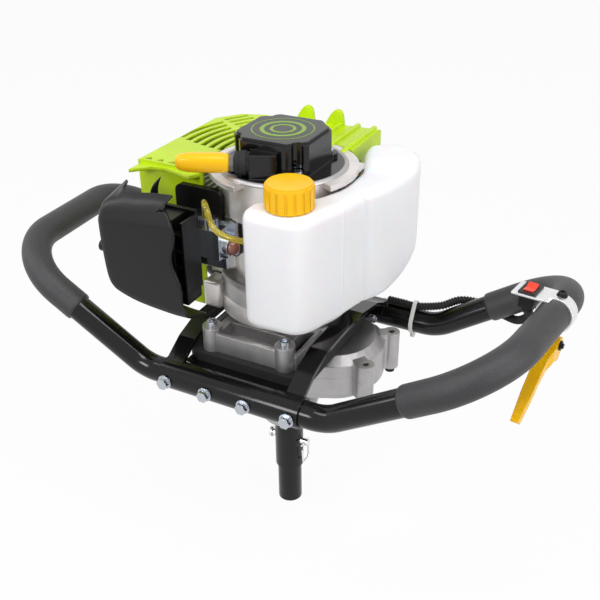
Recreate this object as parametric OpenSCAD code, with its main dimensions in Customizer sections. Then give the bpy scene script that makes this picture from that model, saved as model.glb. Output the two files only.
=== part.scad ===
// Power head of a one-person petrol earth auger:
// tube handles, two-stroke engine, clutch and reduction gearbox.
// The crank and output axis is Z through the origin, which lies on the lower end of the auger rod.
// X runs to the operator's right handle and -Y to the front bar. Heights are counted from the bars' axis.

/* [Handles] */
// Height of the handle bars' axis above the lower end of the auger rod
bar_height = 215; // [200:1:260]
// Outer diameter of the handle tube
tube_d = 25; // [22:0.5:28]
// Wall of the handle tube
tube_wall = 2; // [1:0.25:3]
// Distance of the front bar in front of the crank axis
bar_front = 108; // [102:1:118]
// Distance of the rear bar behind the crank axis
bar_back = 86; // [80:1:95]
// Where the front leg bends up, from the middle
front_bend_x = 96; // [90:1:110]
// Where the rear leg bends up, from the middle
rear_bend_x = 130; // [120:1:140]
// Distance of the loop's front corner in front of the crank axis
hand_front_y = 115; // [108:1:125]
// Half width of the loop at its front corner
hand_front_x = 241; // [225:1:260]
// Rise of the loop at its front corner
hand_front_z = 94; // [80:1:110]
// Half width of the loop at its rear corner
hand_rear_x = 269; // [255:1:285]
// Distance of the loop's rear corner behind the crank axis
hand_rear_y = 108; // [100:1:120]
// Rise of the loop at its rear corner
hand_rear_z = 84; // [70:1:100]
// Bend radius of the tube's axis at the bars
bar_bend_r = 45; // [40:1:60]
// Bend radius of the tube's axis at the loop's corners
hand_bend_r = 62; // [50:1:70]
// Wall of the foam grip
grip_wall = 1.9; // [1.5:0.1:3]
// Length of grip on the front leg, from the loop's front corner
grip_front = 86; // [75:1:100]
// Length of grip on the rear leg, from the loop's rear corner
grip_rear = 104; // [95:1:112]

/* [Frame] */
// Sheet thickness of the saddles
saddle_t = 2.2; // [2:0.1:3]
// Half length of the saddles
saddle_half = 74; // [70:1:80]
// Thickness of the frame plate
plate_t = 5; // [4:0.5:8]
// Half width of the frame plate
plate_half = 60; // [56:1:62]
// Width of the straps
strap_w = 18; // [12:1:22]
// Thickness of the straps
strap_t = 4; // [3:0.5:6]
// Highest point of the straps' axis
strap_rise = 34; // [28:1:38]
// Spacing of the inner pair of handle bolts from the middle
bolt_in_x = 20.5; // [16:0.5:26]
// Spacing of the outer pair of handle bolts from the middle
bolt_out_x = 65; // [58:0.5:66]
// Radius of the handle bolts' shank
bolt_r = 3; // [2.5:0.5:4]

/* [Gearbox] */
// Centre distance of both gear stages
gear_centre = 48; // [48:1:48]
// Direction of the layshaft from the output axis
lay_angle = 26; // [20:0.5:28]
// Teeth of the first pinion, on the clutch drum's shaft
teeth_1 = 10; // [10:1:10]
// Teeth of the first gear, on the layshaft
teeth_2 = 50; // [50:1:50]
// Teeth of the second pinion, on the layshaft
teeth_3 = 8; // [8:1:8]
// Teeth of the second gear, on the output shaft
teeth_4 = 40; // [40:1:40]
// Radius of the gear chambers
chamber_r = 45; // [44:0.5:47]
// Wall of the gearbox
box_wall = 7; // [6:0.5:9]
// Height of the cover, from its joint to the frame plate
cover_h = 21.5; // [21:0.5:26]
// Height of the lower housing below the joint
housing_h = 28; // [26:0.5:36]
// Length of the nose that carries the output shaft
nose_len = 51.5; // [48:0.5:60]
// Radius of the nose
nose_r = 28; // [27:0.5:32]
// Radius of the bolt bosses
boss_r = 8.5; // [7:0.5:10]
// Radius of the output shaft
out_r = 10; // [9:0.5:11]

/* [Auger drive] */
// Radius of the auger rod
rod_r = 13.2; // [12.5:0.1:14]
// Radius of the rod's hub
hub_r = 15.5; // [14.8:0.1:18]
// Length of the rod's hub
hub_len = 65; // [56:1:70]
// Gap between the nose and the hub
hub_gap = 4; // [2:0.5:8]
// Distance of the hitch pin below the hub's upper end
pin_drop = 31; // [24:0.5:38]
// Radius of the hitch pin
pin_r = 4; // [3:0.5:5]

/* [Engine] */
// Thickness of the damper pad
pad_t = 10; // [8:0.5:14]
// Height of the clutch housing
clutch_h = 26; // [24:0.5:32]
// Outer radius of the clutch housing
bell_r = 55; // [52:0.5:58]
// Wall of the clutch housing
bell_wall = 10; // [8:0.5:12]
// Half spacing of the housing bolts across the machine
house_bolt_x = 39; // [36:0.5:44]
// Distance of the front housing bolts in front of the crank axis
house_bolt_front = 76; // [72:0.5:80]
// Distance of the rear housing bolts behind the crank axis
house_bolt_back = 52; // [50:0.5:54]
// Height of the crankcase
case_h = 101; // [96:1:110]
// Radius of the crankcase's foot
case_foot_r = 64; // [58:0.5:66]
// Height of the crankcase's foot
case_foot_h = 20; // [18:0.5:21]
// Radius of the crankcase's body
case_r = 50; // [46:0.5:52]
// Height of the cylinder's axis above the frame plate's lower face
cyl_rise = 111; // [108:1:114]
// Radius of the crank's journals
crank_r = 8; // [7:0.5:10]
// Height of the fan housing
fan_h = 40; // [36:1:44]
// Outer radius of the fan housing's wall
fan_r = 58; // [55:0.5:59]
// Outer radius of the fan housing's rim
rim_r = 69; // [66:0.5:70]
// Radius of the flywheel
flywheel_r = 40; // [36:0.5:41]
// Distance of the cylinder head's end from the crank axis
head_x = 118; // [112:1:122]

/* [Hood] */
// Distance of the hood's left end from the crank axis
hood_left = 148; // [146:1:156]
// Distance of the hood's right end from the crank axis
hood_right = 42; // [38:1:43]
// Distance of the hood's front wall from the crank axis
hood_front = 46; // [44:1:47]
// Distance of the hood's rear wall from the crank axis
hood_back = 146; // [140:1:152]
// Wall of the hood
hood_t = 2.5; // [2:0.25:3.5]
// Depth of the hood's walls
hood_depth = 120; // [100:1:135]
// Height of the hood's sloping shoulder
shoulder = 15; // [8:1:20]
// Slope of the shoulder, in degrees
shoulder_angle = 38; // [30:1:55]
// Number of slats in the large louvre
slats = 6; // [4:1:6]

/* [Starter] */
// Half width of the starter cover
starter_half = 37.5; // [36:0.5:40]
// Corner cut of the starter cover
starter_cut = 15; // [12:0.5:17]
// Height of the starter cover
starter_h = 33; // [31:0.5:38]
// Wall of the starter cover
starter_wall = 3; // [2:0.25:4]
// Length of the starter grip
pull_len = 56; // [48:1:64]
// Radius of the rope bush
bush_r = 11; // [10:0.5:12]
// Turn of the pull about the crank axis
pull_yaw = 24; // [18:1:26]

/* [Fuel] */
// Wall of the fuel tank
tank_wall = 2.5; // [2:0.25:3.5]
// Height of the tank's underside
tank_low = 67; // [66:1:76]
// Height of the tank's top at the front
tank_high = 179; // [176:0.5:180]
// Radius of the fuel cap
cap_r = 21.3; // [20:0.1:21.5]
// Height of the fuel cap
cap_h = 22; // [18:0.5:26]
// Outer radius of the tank's neck
neck_r = 16; // [13:0.5:17]

/* [Intake] */
// Width of the air filter's base
filter_w = 72; // [64:1:76]
// Height of the air filter's base
filter_h = 80; // [70:1:86]
// Depth of the air filter's base
filter_d = 25; // [20:1:28]
// Depth of the air filter's cover
cover_d = 18; // [14:1:20]
// Wall of the filter's mouldings
filter_t = 2.5; // [2:0.25:3]

/* [Controls] */
// Place of the switch bracket along the right loop, behind the crank axis
control_y = 14; // [6:1:24]
// Sheet thickness of the switch bracket
bracket_t = 1.8; // [1.5:0.1:3]
// Length of the throttle lever
lever_len = 68; // [62:1:76]
// Outer diameter of the ribbed conduit
conduit_d = 8.6; // [7:0.2:10]
// Pitch of the conduit's ribs
rib_pitch = 3; // [2.6:0.1:5]

/* [Clearances] */
// Gap between a shaft and the bore that it runs in
run_gap = 0.05; // [0.02:0.01:0.09]
// Gap between fixed pieces that slip together
fit_gap = 0.1; // [0.05:0.05:0.2]
// Gap between pieces that move past each other
move_gap = 0.4; // [0.3:0.1:0.8]

/* [Hidden] */
$fn = 64;
eps = 0.01;
hair = 0.02;
lap = 0.6;

// Heights, counted from the bars' axis
plate_z = 4;
pad_z = plate_z + plate_t;
clutch_z = pad_z + pad_t;
case_z = clutch_z + clutch_h;
fan_z = case_z + case_h;
starter_z = fan_z + fan_h;
joint_z = plate_z - cover_h;
floor_z = joint_z - housing_h;
nose_z = floor_z - nose_len;
hub_z = nose_z - hub_gap;
cyl_z = plate_z + cyl_rise;

// Handles and frame
tube_r = tube_d / 2;
grip_r = tube_r + fit_gap + grip_wall;
saddle_r = tube_r + fit_gap + saddle_t;
middle_gap = 1;
bolt_xs = [-bolt_out_x, -bolt_in_x, bolt_in_x, bolt_out_x];
nut_t = 4.5;
nut_end = bar_back - tube_r - nut_t - 4;
hand_path = [[middle_gap, -bar_front, 0], [front_bend_x, -bar_front, 0],
    [hand_front_x, -hand_front_y, hand_front_z], [hand_rear_x, hand_rear_y, hand_rear_z],
    [rear_bend_x, bar_back, 0], [middle_gap, bar_back, 0]];
hand_bends = [0, bar_bend_r, hand_bend_r, hand_bend_r, bar_bend_r, 0];
strap_x = saddle_half - strap_w / 2 - 1;
strap_path = [[-bar_front, saddle_r - strap_t / 2], [-bar_front + 5, saddle_r - strap_t / 2 + 1],
    [-bar_front + 25, strap_rise - 8], [-bar_front + 51, strap_rise], [-14, strap_rise],
    [24, strap_rise - 3], [bar_back - 24, saddle_r + 8], [bar_back - 8, saddle_r],
    [bar_back, saddle_r - strap_t / 2]];

// Gear train
lay = gear_centre * [cos(lay_angle), sin(lay_angle)];
module_1 = 2 * gear_centre / (teeth_1 + teeth_2);
module_2 = 2 * gear_centre / (teeth_3 + teeth_4);
box_r = chamber_r + box_wall;
boss_reach = box_r + boss_r - 0.7;
bosses = [for (a = [-34, 34]) lay + boss_reach * [cos(a), sin(a)],
    for (a = [112, 165, 218, 285]) boss_reach * [cos(a), sin(a)]];
boss_top = plate_z - 4;
boss_low = joint_z - housing_h + 4;
gear1_z = joint_z + 2.5;
gear1_t = 8;
gear2_t = 14;
gear2_z = joint_z - 3 - gear2_t;
chamber_low = gear2_z - 3;
bearing_r = 23.5;
bearing_t = 14;
upper_bearing_z = chamber_low - bearing_t;
lower_bearing_z = nose_z + 12;
seal_t = 7;
drum_shaft_r = 7.5;
input_r = 17.5;
input_t = 11;
input_z = clutch_z - 2 - input_t;
spigot_r = input_r + 7;
pin_z = hub_z - pin_drop;
screw_r = 3;

// Engine
drum_r = bell_r - bell_wall - 3;
drum_floor = clutch_z + 6;
drum_top = case_z + 4;
recess_top = case_z + 14;
web_r = 34;
web_t = 10;
throw = 17;
intake = [-40, 0, cyl_z + 18];
bore_x = intake[0] - 16;
seat_y = -hood_front;
insulator_t = 6;
insulator_x = -sqrt(fan_r * fan_r - seat_y * seat_y) - 1.7;
carb_y = seat_y - insulator_t;
carb_d = 24;
base_y = carb_y - carb_d;
filter_x = -46;
filter_z = 82;
face_y = base_y - filter_d;
strip_t = 1.6;
strip_x = fan_r + 2;
tank_gap = 4;
tank_move = fan_r + tank_gap - 62;
cap_x = 43 + tank_move;
cap_y = -70 - tank_move;
rope = [-9.5, -43, starter_z + 13.8];
rope_r = 2;
rope_ring_r = 26;
reel_z = starter_z + 9;
reel_t = 15;

// A point on the right loop's straight top and the turn of the tube there
hand_run = hand_path[3] - hand_path[2];
control_at = hand_path[2] + hand_run * (control_y + hand_front_y) / hand_run[1];
control_yaw = -atan2(hand_run[0], hand_run[1]);
control_pitch = atan2(hand_run[2], norm([hand_run[0], hand_run[1]]));
pivot_drop = 30;
lever_half = 8;
ear_half = 1.5;
rocker_size = [13, 19];
tab_out = 38;

// The conduit lies on the rear bar, then goes round the back of the rear leg to the switch
leg_run = unit(hand_path[3] - hand_path[4]);
leg_side = unit(cross(leg_run, [0, 0, 1]));
leg_top = cross(leg_side, leg_run);
conduit_off = tube_r + conduit_d / 2 + fit_gap + 0.3;
function on_leg(t, a, off) = hand_path[4] + t * leg_run + off * (leg_top * cos(a) - leg_side * sin(a));
conduit_points = [[saddle_half + 1.5, bar_back, conduit_off], [92, bar_back, conduit_off],
    [108, bar_back, conduit_off],
    on_leg(14, 10, conduit_off + 1), on_leg(32, 50, conduit_off + 1), on_leg(50, 100, conduit_off + 1.5),
    on_leg(66, 150, conduit_off + 3), on_leg(82, 195, conduit_off + 4), on_leg(98, 235, conduit_off + 5),
    [222, 66, 56], [229, 46, 71], [232, 28, 80.5], [232, 17, 84]];
hose_points = [[intake[0] - 8, base_y + 14, intake[2] + 14], [intake[0] - 8, base_y + 14, intake[2] + 24],
    [-44, -68, intake[2] + 33], [-36, -76, intake[2] + 30], [-28, -82, intake[2] + 20],
    [-18, -84, intake[2] + 14], [tank_move - 6, -84 - tank_move, intake[2] + 12],
    [tank_move + 6, -84 - tank_move, intake[2] + 12]];

function unit(v) = v / norm(v);
// A convex outline moved in by d
function inset_outline(p, d) = [for (i = [0:len(p) - 1])
    let (a = unit(p[i] - p[(i + len(p) - 1) % len(p)]), b = unit(p[(i + 1) % len(p)] - p[i]))
    let (n = [-a[1], a[0]], m = [-b[1], b[0]]) p[i] + d * (n + m) / (1 + n * m)];
function reversed(v) = [for (i = [len(v) - 1:-1:0]) v[i]];
function corner_turn(p, i) = acos(unit(p[i] - p[i - 1]) * unit(p[i + 1] - p[i]));
function corner_cut(p, b, i) = b[i] == 0 ? 0 : b[i] * tan(corner_turn(p, i) / 2);

// A smooth curve through the points, with n steps between neighbours
function spline_at(p, i, t) = let (
        a = p[max(i - 1, 0)], b = p[i], c = p[i + 1], d = p[min(i + 2, len(p) - 1)])
    0.5 * (2 * b + (c - a) * t + (2 * a - 5 * b + 4 * c - d) * t * t + (3 * b - a - 3 * c + d) * t * t * t);
function spline(p, n) = [for (i = [0:len(p) - 2], k = [0:n - 1]) spline_at(p, i, k / n), p[len(p) - 1]];
function lengths(p) = [for (i = 0, s = 0; i < len(p);
    s = s + (i < len(p) - 1 ? norm(p[i + 1] - p[i]) : 0), i = i + 1) s];
function point_at(p, c, s) = let (i = [for (k = [0:len(p) - 2]) if (c[k + 1] >= s - eps) k][0])
    p[i] + (p[i + 1] - p[i]) * (s - c[i]) / (c[i + 1] - c[i]);
function heading(p, i) = unit(p[min(i + 1, len(p) - 1)] - p[max(i - 1, 0)]);

// Involute gear outline: half angle of a tooth at radius r
function involute(a) = tan(a) * 180 / PI - a;
function tooth_half(z, m, r) = let (rp = m * z / 2, rb = rp * cos(20), f = 0.84)
    90 / z * f + involute(20) - (r > rb ? involute(acos(rb / r)) : 0);
function gear_outline(z, m) = let (
        rp = m * z / 2, radii = [rp - 1.1 * m, max(rp - 0.3 * m, rp * cos(20)), rp + 0.3 * m, rp + 0.75 * m])
    [for (i = [0:z - 1], k = [0:7]) let (
            r = radii[k < 4 ? k : 7 - k], h = tooth_half(z, m, r), a = 360 * i / z + (k < 4 ? -h : h))
        r * [cos(a), sin(a)]];

// A ribbon of thickness t along a flat path
function side(p, i) = let (d = unit(p[min(i + 1, len(p) - 1)] - p[max(i - 1, 0)])) [-d[1], d[0]];
function ribbon(p, t) = concat([for (i = [0:len(p) - 1]) p[i] + side(p, i) * t / 2],
    reversed([for (i = [0:len(p) - 1]) p[i] - side(p, i) * t / 2]));

module lift() {
    translate([0, 0, bar_height]) children();
}

module slab(low, high) {
    translate(low) cube(high - low);
}

module ring(ro, ri, z0, z1) {
    translate([0, 0, z0]) difference() {
        cylinder(r = ro, h = z1 - z0);
        translate([0, 0, -1]) cylinder(r = ri, h = z1 - z0 + 2);
    }
}

module post(r, z0, z1) {
    translate([0, 0, z0]) cylinder(r = r, h = z1 - z0);
}

module along_x(x0, x1, r) {
    translate([x0, 0, 0]) rotate([0, 90, 0]) cylinder(r = r, h = x1 - x0);
}

module along_y(y0, y1, r) {
    translate([0, y0, 0]) rotate([-90, 0, 0]) cylinder(r = r, h = y1 - y0);
}

// A rectangle with round corners, in exact arcs
module soft_square(low, high, r) {
    size = high - low;
    translate(low + [r, 0]) square(size - [2 * r, 0]);
    translate(low + [0, r]) square(size - [0, 2 * r]);
    for (x = [low[0] + r, high[0] - r], y = [low[1] + r, high[1] - r]) translate([x, y]) circle(r);
}

// The outline round the output axis and the layshaft
module two_lobes(r) {
    circle(r);
    translate(lay) circle(r);
    rotate(lay_angle) translate([0, -0.992 * r]) square([gear_centre, 2 * 0.992 * r]);
}

module at_each(points) {
    for (p = points) translate([p[0], p[1], 0]) children();
}

// A bent bar: straight runs and exact elbows
module tube_bar(a, b, d) {
    v = b - a;
    translate(a) rotate([0, acos(v[2] / norm(v)), atan2(v[1], v[0])]) cylinder(d = d, h = norm(v));
}

module tube_elbow(a, v, b, r, d) {
    u = unit(v - a);
    w = unit(b - v);
    turn = acos(u * w);
    c = v + unit(w - u) * r / cos(turn / 2);
    x = unit(v - u * r * tan(turn / 2) - c);
    z = cross(x, u);
    multmatrix([[x[0], u[0], z[0], c[0]], [x[1], u[1], z[1], c[1]], [x[2], u[2], z[2], c[2]], [0, 0, 0, 1]])
        rotate_extrude(angle = turn) translate([r, 0]) circle(d = d);
}

// Straight runs are a hair thicker than the elbows and reach into them, so the pieces join into one solid
module bent_run(p, b, d, over) {
    n = len(p) - 1;
    for (i = [0:n - 1]) {
        v = unit(p[i + 1] - p[i]);
        tube_bar(p[i] + v * (i == 0 ? -over : corner_cut(p, b, i) - lap),
            p[i + 1] - v * (i == n - 1 ? -over : corner_cut(p, b, i + 1) - lap), d + 2 * hair);
    }
    for (i = [1:n - 1]) tube_elbow(p[i - 1], p[i], p[i + 1], b[i], d);
}

module bent_tube(p, b, od, id = 0) {
    difference() {
        bent_run(p, b, od, 0);
        if (id > 0) bent_run(p, b, id, 1);
    }
}

// A tube swept along points, with one radius for each ring and a bore
module swept(path, radii, bore, sides) {
    n = len(path);
    all = concat(
        [for (i = [0:n - 1], k = [0:sides - 1]) let (t = heading(path, i), x = unit(cross(t, [0.1, 0.2, 1])),
            y = cross(t, x), a = 360 * k / sides) path[i] + radii[i] * (x * cos(a) + y * sin(a))],
        [for (i = [0:n - 1], k = [0:sides - 1]) let (t = heading(path, i), x = unit(cross(t, [0.1, 0.2, 1])),
            y = cross(t, x), a = 360 * k / sides) path[i] + bore * (x * cos(a) + y * sin(a))]);
    m = n * sides;
    walls = [for (i = [0:n - 2], k = [0:sides - 1]) let (
            a = i * sides + k, b = i * sides + (k + 1) % sides, c = a + sides, d = b + sides)
        each [[a, c, b], [b, c, d], [m + a, m + b, m + c], [m + b, m + d, m + c]]];
    ends = [for (k = [0:sides - 1]) let (j = (k + 1) % sides, e = (n - 1) * sides)
        each [[k, j, m + k], [j, m + j, m + k], [e + k, m + e + k, e + j], [e + j, m + e + k, m + e + j]]];
    polyhedron(points = all, faces = concat(walls, ends), convexity = 6);
}

module spur(z, m, t, phase) {
    rotate(phase) linear_extrude(t) polygon(gear_outline(z, m));
}

// Handles and frame

module handle() {
    lift() difference() {
        bent_tube(hand_path, hand_bends, tube_d, tube_d - 2 * tube_wall);
        for (x = [bolt_in_x, bolt_out_x], y = [-bar_front, bar_back])
            translate([x, y, 0]) along_y(-tube_d, tube_d, bolt_r + fit_gap);
    }
}

module left_handle() {
    color([0.05, 0.05, 0.055]) mirror([1, 0, 0]) handle();
}

module right_handle() {
    color([0.05, 0.05, 0.055]) handle();
}

module grip() {
    front = hand_path[2] - grip_front * unit(hand_path[2] - hand_path[1]);
    rear = hand_path[3] + grip_rear * unit(hand_path[4] - hand_path[3]);
    lift() bent_tube([front, hand_path[2], hand_path[3], rear], [0, hand_bend_r, hand_bend_r, 0],
        2 * grip_r, tube_d + 2 * fit_gap);
}

module left_grip() {
    color([0.23, 0.23, 0.24]) mirror([1, 0, 0]) grip();
}

module right_grip() {
    color([0.23, 0.23, 0.24]) grip();
}

module strap() {
    rotate([90, 0, 90]) translate([0, 0, -strap_w / 2]) linear_extrude(strap_w)
        polygon(ribbon(strap_path, strap_t));
}

module frame() {
    color([0.05, 0.05, 0.055]) lift() difference() {
        union() {
            for (y = [-bar_front, bar_back])
                translate([0, y, 0]) along_x(-saddle_half, saddle_half, saddle_r);
            slab([-plate_half, -bar_front, plate_z], [plate_half, bar_back, pad_z]);
            for (s = [-1, 1]) translate([s * strap_x, 0, 0]) strap();
        }
        for (y = [-bar_front, bar_back]) translate([0, y, 0]) {
            along_x(-saddle_half - 1, saddle_half + 1, tube_r + fit_gap);
            for (x = bolt_xs) translate([x, 0, 0]) along_y(-saddle_r - 1, saddle_r + 1, bolt_r + fit_gap);
        }
        // The saddles are open below, on the side of the plate
        slab([-saddle_half - 1, -bar_front, -saddle_r - 1], [saddle_half + 1, 0, plate_z - eps]);
        slab([-saddle_half - 1, 0, -saddle_r - 1], [saddle_half + 1, bar_back, plate_z - eps]);
        // Room for the nuts under the plate
        for (x = bolt_xs) translate([x, 0, 0]) {
            along_y(-bar_front, -bar_front + tube_r + nut_t + 4, 6.6);
            along_y(nut_end, bar_back, 6.6);
        }
        post(spigot_r + fit_gap, plate_z - 1, pad_z + 1);
        for (x = [-house_bolt_x, house_bolt_x], y = [-house_bolt_front, house_bolt_back])
            translate([x, y, 0]) post(screw_r + fit_gap, plate_z - 1, pad_z + 1);
    }
}

// Flange bolts clamp the saddles to the tubes, with nuts on the far side
module flange_bolt(grip_len) {
    head_t = 5;
    flange_t = 1.5;
    hex_r = 5.8;
    along_y(-flange_t, 0, 7);
    translate([0, -flange_t - head_t, 0]) rotate([-90, 0, 0]) cylinder(r = hex_r, h = head_t, $fn = 6);
    along_y(-eps, grip_len + nut_t + 2, bolt_r);
    translate([0, grip_len, 0]) rotate([-90, 0, 0]) cylinder(r = hex_r, h = nut_t, $fn = 6);
}

module handle_bolts() {
    grip_len = saddle_r + tube_r + 2 * fit_gap;
    color([0.78, 0.8, 0.84]) lift() for (x = bolt_xs) {
        translate([x, -bar_front - saddle_r - fit_gap, 0]) flange_bolt(grip_len);
        translate([x, bar_back + saddle_r + fit_gap, 0]) mirror([0, 1, 0]) flange_bolt(grip_len);
    }
}

// Gearbox

module damper_pad() {
    front = house_bolt_front + 13;
    back = house_bolt_back + 11;
    color([0.09, 0.09, 0.09]) lift() difference() {
        translate([0, 0, pad_z]) linear_extrude(pad_t)
            soft_square([-bell_r - 10, -front], [bell_r + 10, back], 18);
        post(spigot_r + fit_gap, pad_z - 1, clutch_z + 1);
        for (x = [-house_bolt_x, house_bolt_x], y = [-house_bolt_front, house_bolt_back])
            translate([x, y, 0]) post(screw_r + fit_gap, pad_z - 1, clutch_z + 1);
    }
}

module ear(z0, z1) {
    for (p = bosses) {
        c = norm(p - lay) < boss_reach + 1 ? lay : [0, 0];
        d = p - c;
        translate([p[0], p[1], 0]) post(boss_r, z0, z1);
        translate([c[0], c[1], z0]) rotate(atan2(d[1], d[0]))
            translate([box_r - 5, -0.8 * boss_r, 0])
                cube([boss_reach - box_r - screw_r + 3.4, 1.6 * boss_r, z1 - z0]);
    }
}

module gearbox_cover() {
    slope = 8;
    color([0.8, 0.8, 0.8]) lift() difference() {
        union() {
            translate([0, 0, joint_z]) linear_extrude(cover_h - slope) two_lobes(box_r);
            hull() for (p = [[0, 0], lay]) translate([p[0], p[1], plate_z - slope - eps])
                cylinder(r1 = box_r - 0.6, r2 = box_r - 9, h = slope + eps, $fn = 32);
            ear(joint_z, boss_top);
            translate([0, 0, plate_z - slope]) linear_extrude(slope) soft_square(
                [-house_bolt_x - 9, -house_bolt_front - 9], [house_bolt_x + 9, house_bolt_back + 9], 9);
            post(spigot_r, plate_z - 1, clutch_z);
        }
        translate([0, 0, joint_z - 1]) linear_extrude(gear1_t + 6) two_lobes(chamber_r);
        post(input_r + fit_gap, input_z, clutch_z + 1);
        post(drum_shaft_r + 2, joint_z, clutch_z);
        // Room for the rear bar, its saddle and its nuts
        translate([0, bar_back, 0]) along_x(-150, 150, saddle_r + 1);
        for (x = bolt_xs) translate([x, 0, 0]) along_y(nut_end, bar_back, 8);
        translate([lay[0], lay[1], 0]) post(7 + run_gap, joint_z, plate_z - 2);
        at_each(bosses) post(screw_r + fit_gap, joint_z - 1, boss_top + 1);
        for (x = [-house_bolt_x, house_bolt_x], y = [-house_bolt_front, house_bolt_back])
            translate([x, y, 0]) post(screw_r + fit_gap, plate_z - 6.5, plate_z + 1);
    }
}

module gearbox_housing() {
    step = 8;
    color([0.78, 0.78, 0.79]) lift() difference() {
        union() {
            translate([0, 0, floor_z + step]) linear_extrude(housing_h - step + 1) two_lobes(box_r);
            translate([0, 0, floor_z]) linear_extrude(step + eps) two_lobes(box_r - 6);
            ear(boss_low, joint_z + 2);
            post(nose_r, nose_z, floor_z + 1);
            for (a = [0:60:300]) rotate(a) rotate([90, 0, 0]) translate([0, 0, -2.5]) linear_extrude(5)
                polygon([[nose_r - 2, floor_z + 1], [box_r - 10, floor_z + 1], [nose_r + 3, nose_z + 14],
                    [nose_r - 2, nose_z + 14]]);
        }
        // The joint face is cut in one go
        slab([-120, -120, joint_z], [160, 160, joint_z + 4]);
        translate([0, 0, chamber_low]) linear_extrude(joint_z - chamber_low + 1) two_lobes(chamber_r);
        post(bearing_r + fit_gap, upper_bearing_z, chamber_low + 1);
        post(bearing_r - 4, lower_bearing_z + bearing_t - eps, upper_bearing_z + 1);
        post(bearing_r + fit_gap, nose_z - 1, lower_bearing_z + bearing_t);
        translate([lay[0], lay[1], 0]) post(7 + run_gap, floor_z + 2, chamber_low + 1);
        at_each(bosses) post(screw_r + fit_gap, boss_low - 1, joint_z + 1);
    }
}

// Cap screws from below hold the two halves together
module gearbox_bolts() {
    color([0.08, 0.08, 0.08]) lift() at_each(bosses) {
        post(screw_r, boss_low - eps, boss_top - 3);
        difference() {
            post(5, boss_low - 6, boss_low);
            translate([0, 0, boss_low - 7]) cylinder(r = 2.9, h = 4, $fn = 6);
        }
    }
}

module input_bearing() {
    color([0.75, 0.76, 0.78]) lift() ring(input_r, drum_shaft_r + run_gap, input_z, input_z + input_t);
}

module clutch_drum() {
    color([0.55, 0.55, 0.57]) lift() {
        difference() {
            post(drum_r, drum_floor, drum_top);
            post(drum_r - 2.5, drum_floor + 2.5, drum_top + 1);
        }
        post(drum_shaft_r, gear1_z + gear1_t - eps, drum_floor + eps);
        post(spigot_r - 6, clutch_z + 1, drum_floor + eps);
        translate([0, 0, gear1_z]) spur(teeth_1, module_1, gear1_t, lay_angle);
    }
}

module clutch_shoes() {
    shoe_r = drum_r - 2.5 - 1.2;
    color([0.5, 0.48, 0.45]) lift() difference() {
        post(shoe_r, drum_floor + 4, drum_top - 1);
        post(crank_r + fit_gap, drum_floor, drum_top + 1);
        for (s = [-1, 1]) translate([s * 16, 0, drum_floor]) translate([-1, -shoe_r, 0])
            cube([2, shoe_r * 2 - 14, drum_top]);
    }
}

module layshaft() {
    color([0.6, 0.6, 0.62]) lift() translate([lay[0], lay[1], 0]) {
        post(7, floor_z + 3, gear2_z + eps);
        post(7, gear1_z + gear1_t - eps, plate_z - 3);
        translate([0, 0, gear1_z]) spur(teeth_2, module_1, gear1_t, lay_angle + 180 + 180 / teeth_2);
        translate([0, 0, gear2_z]) spur(teeth_3, module_2, gear1_z - gear2_z + eps, lay_angle + 180);
    }
}

module output_gear() {
    color([0.58, 0.58, 0.6]) lift() difference() {
        translate([0, 0, gear2_z]) spur(teeth_4, module_2, gear2_t, lay_angle + 180 / teeth_4);
        post(out_r + fit_gap, gear2_z - 1, gear2_z + gear2_t + 1);
        for (a = [30:60:330]) rotate(a) translate([24, 0, 0]) post(6, gear2_z - 1, gear2_z + gear2_t + 1);
    }
}

module output_shaft() {
    color([0.68, 0.69, 0.71]) lift() difference() {
        union() {
            post(out_r, hub_z - hub_len + 12, gear2_z + gear2_t);
            post(out_r + 4, gear2_z - 2.5, gear2_z - fit_gap);
        }
        translate([0, 0, pin_z]) along_x(-out_r - 1, out_r + 1, pin_r + fit_gap);
    }
}

module output_bearings() {
    color([0.75, 0.76, 0.78]) lift() for (z = [upper_bearing_z, lower_bearing_z])
        ring(bearing_r, out_r + run_gap, z, z + bearing_t);
}

module output_seal() {
    color([0.12, 0.1, 0.09]) lift()
        ring(bearing_r, out_r + run_gap, lower_bearing_z - seal_t, lower_bearing_z);
}

// Hub and rod are one weldment that slips over the output shaft
module auger_rod() {
    low = hub_z - hub_len;
    color([0.05, 0.05, 0.055]) lift() difference() {
        union() {
            post(hub_r, low, hub_z);
            post(rod_r, -bar_height, low + 1);
            translate([0, 0, low - 2]) cylinder(r1 = rod_r, r2 = hub_r - 0.5, h = 2 + eps);
        }
        post(out_r + fit_gap, low + 10, hub_z + 1);
        translate([0, 0, pin_z]) along_x(-hub_r - 1, hub_r + 1, pin_r + fit_gap);
    }
}

module hitch_pin() {
    tail = hub_r + 8;
    color([0.82, 0.83, 0.85]) lift() translate([0, 0, pin_z]) difference() {
        union() {
            along_x(-hub_r - 4, tail, pin_r);
            along_x(-hub_r - 7, -hub_r - 4, pin_r + 2);
        }
        translate([hub_r + 4, 0, 0]) along_y(-pin_r - 1, pin_r + 1, 1.2);
    }
}

// Spring clip through the pin's end, hanging down beside the hub
module pin_clip() {
    drop = 26;
    x = hub_r + 4;
    color([0.82, 0.83, 0.85]) lift() bent_tube([[x, -9, pin_z], [x, 8, pin_z], [x, 8, pin_z - drop],
        [x, -5, pin_z - drop], [x, -7, pin_z - 8]], [0, 3, 3, 3, 0], 2);
}

// Engine

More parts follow.
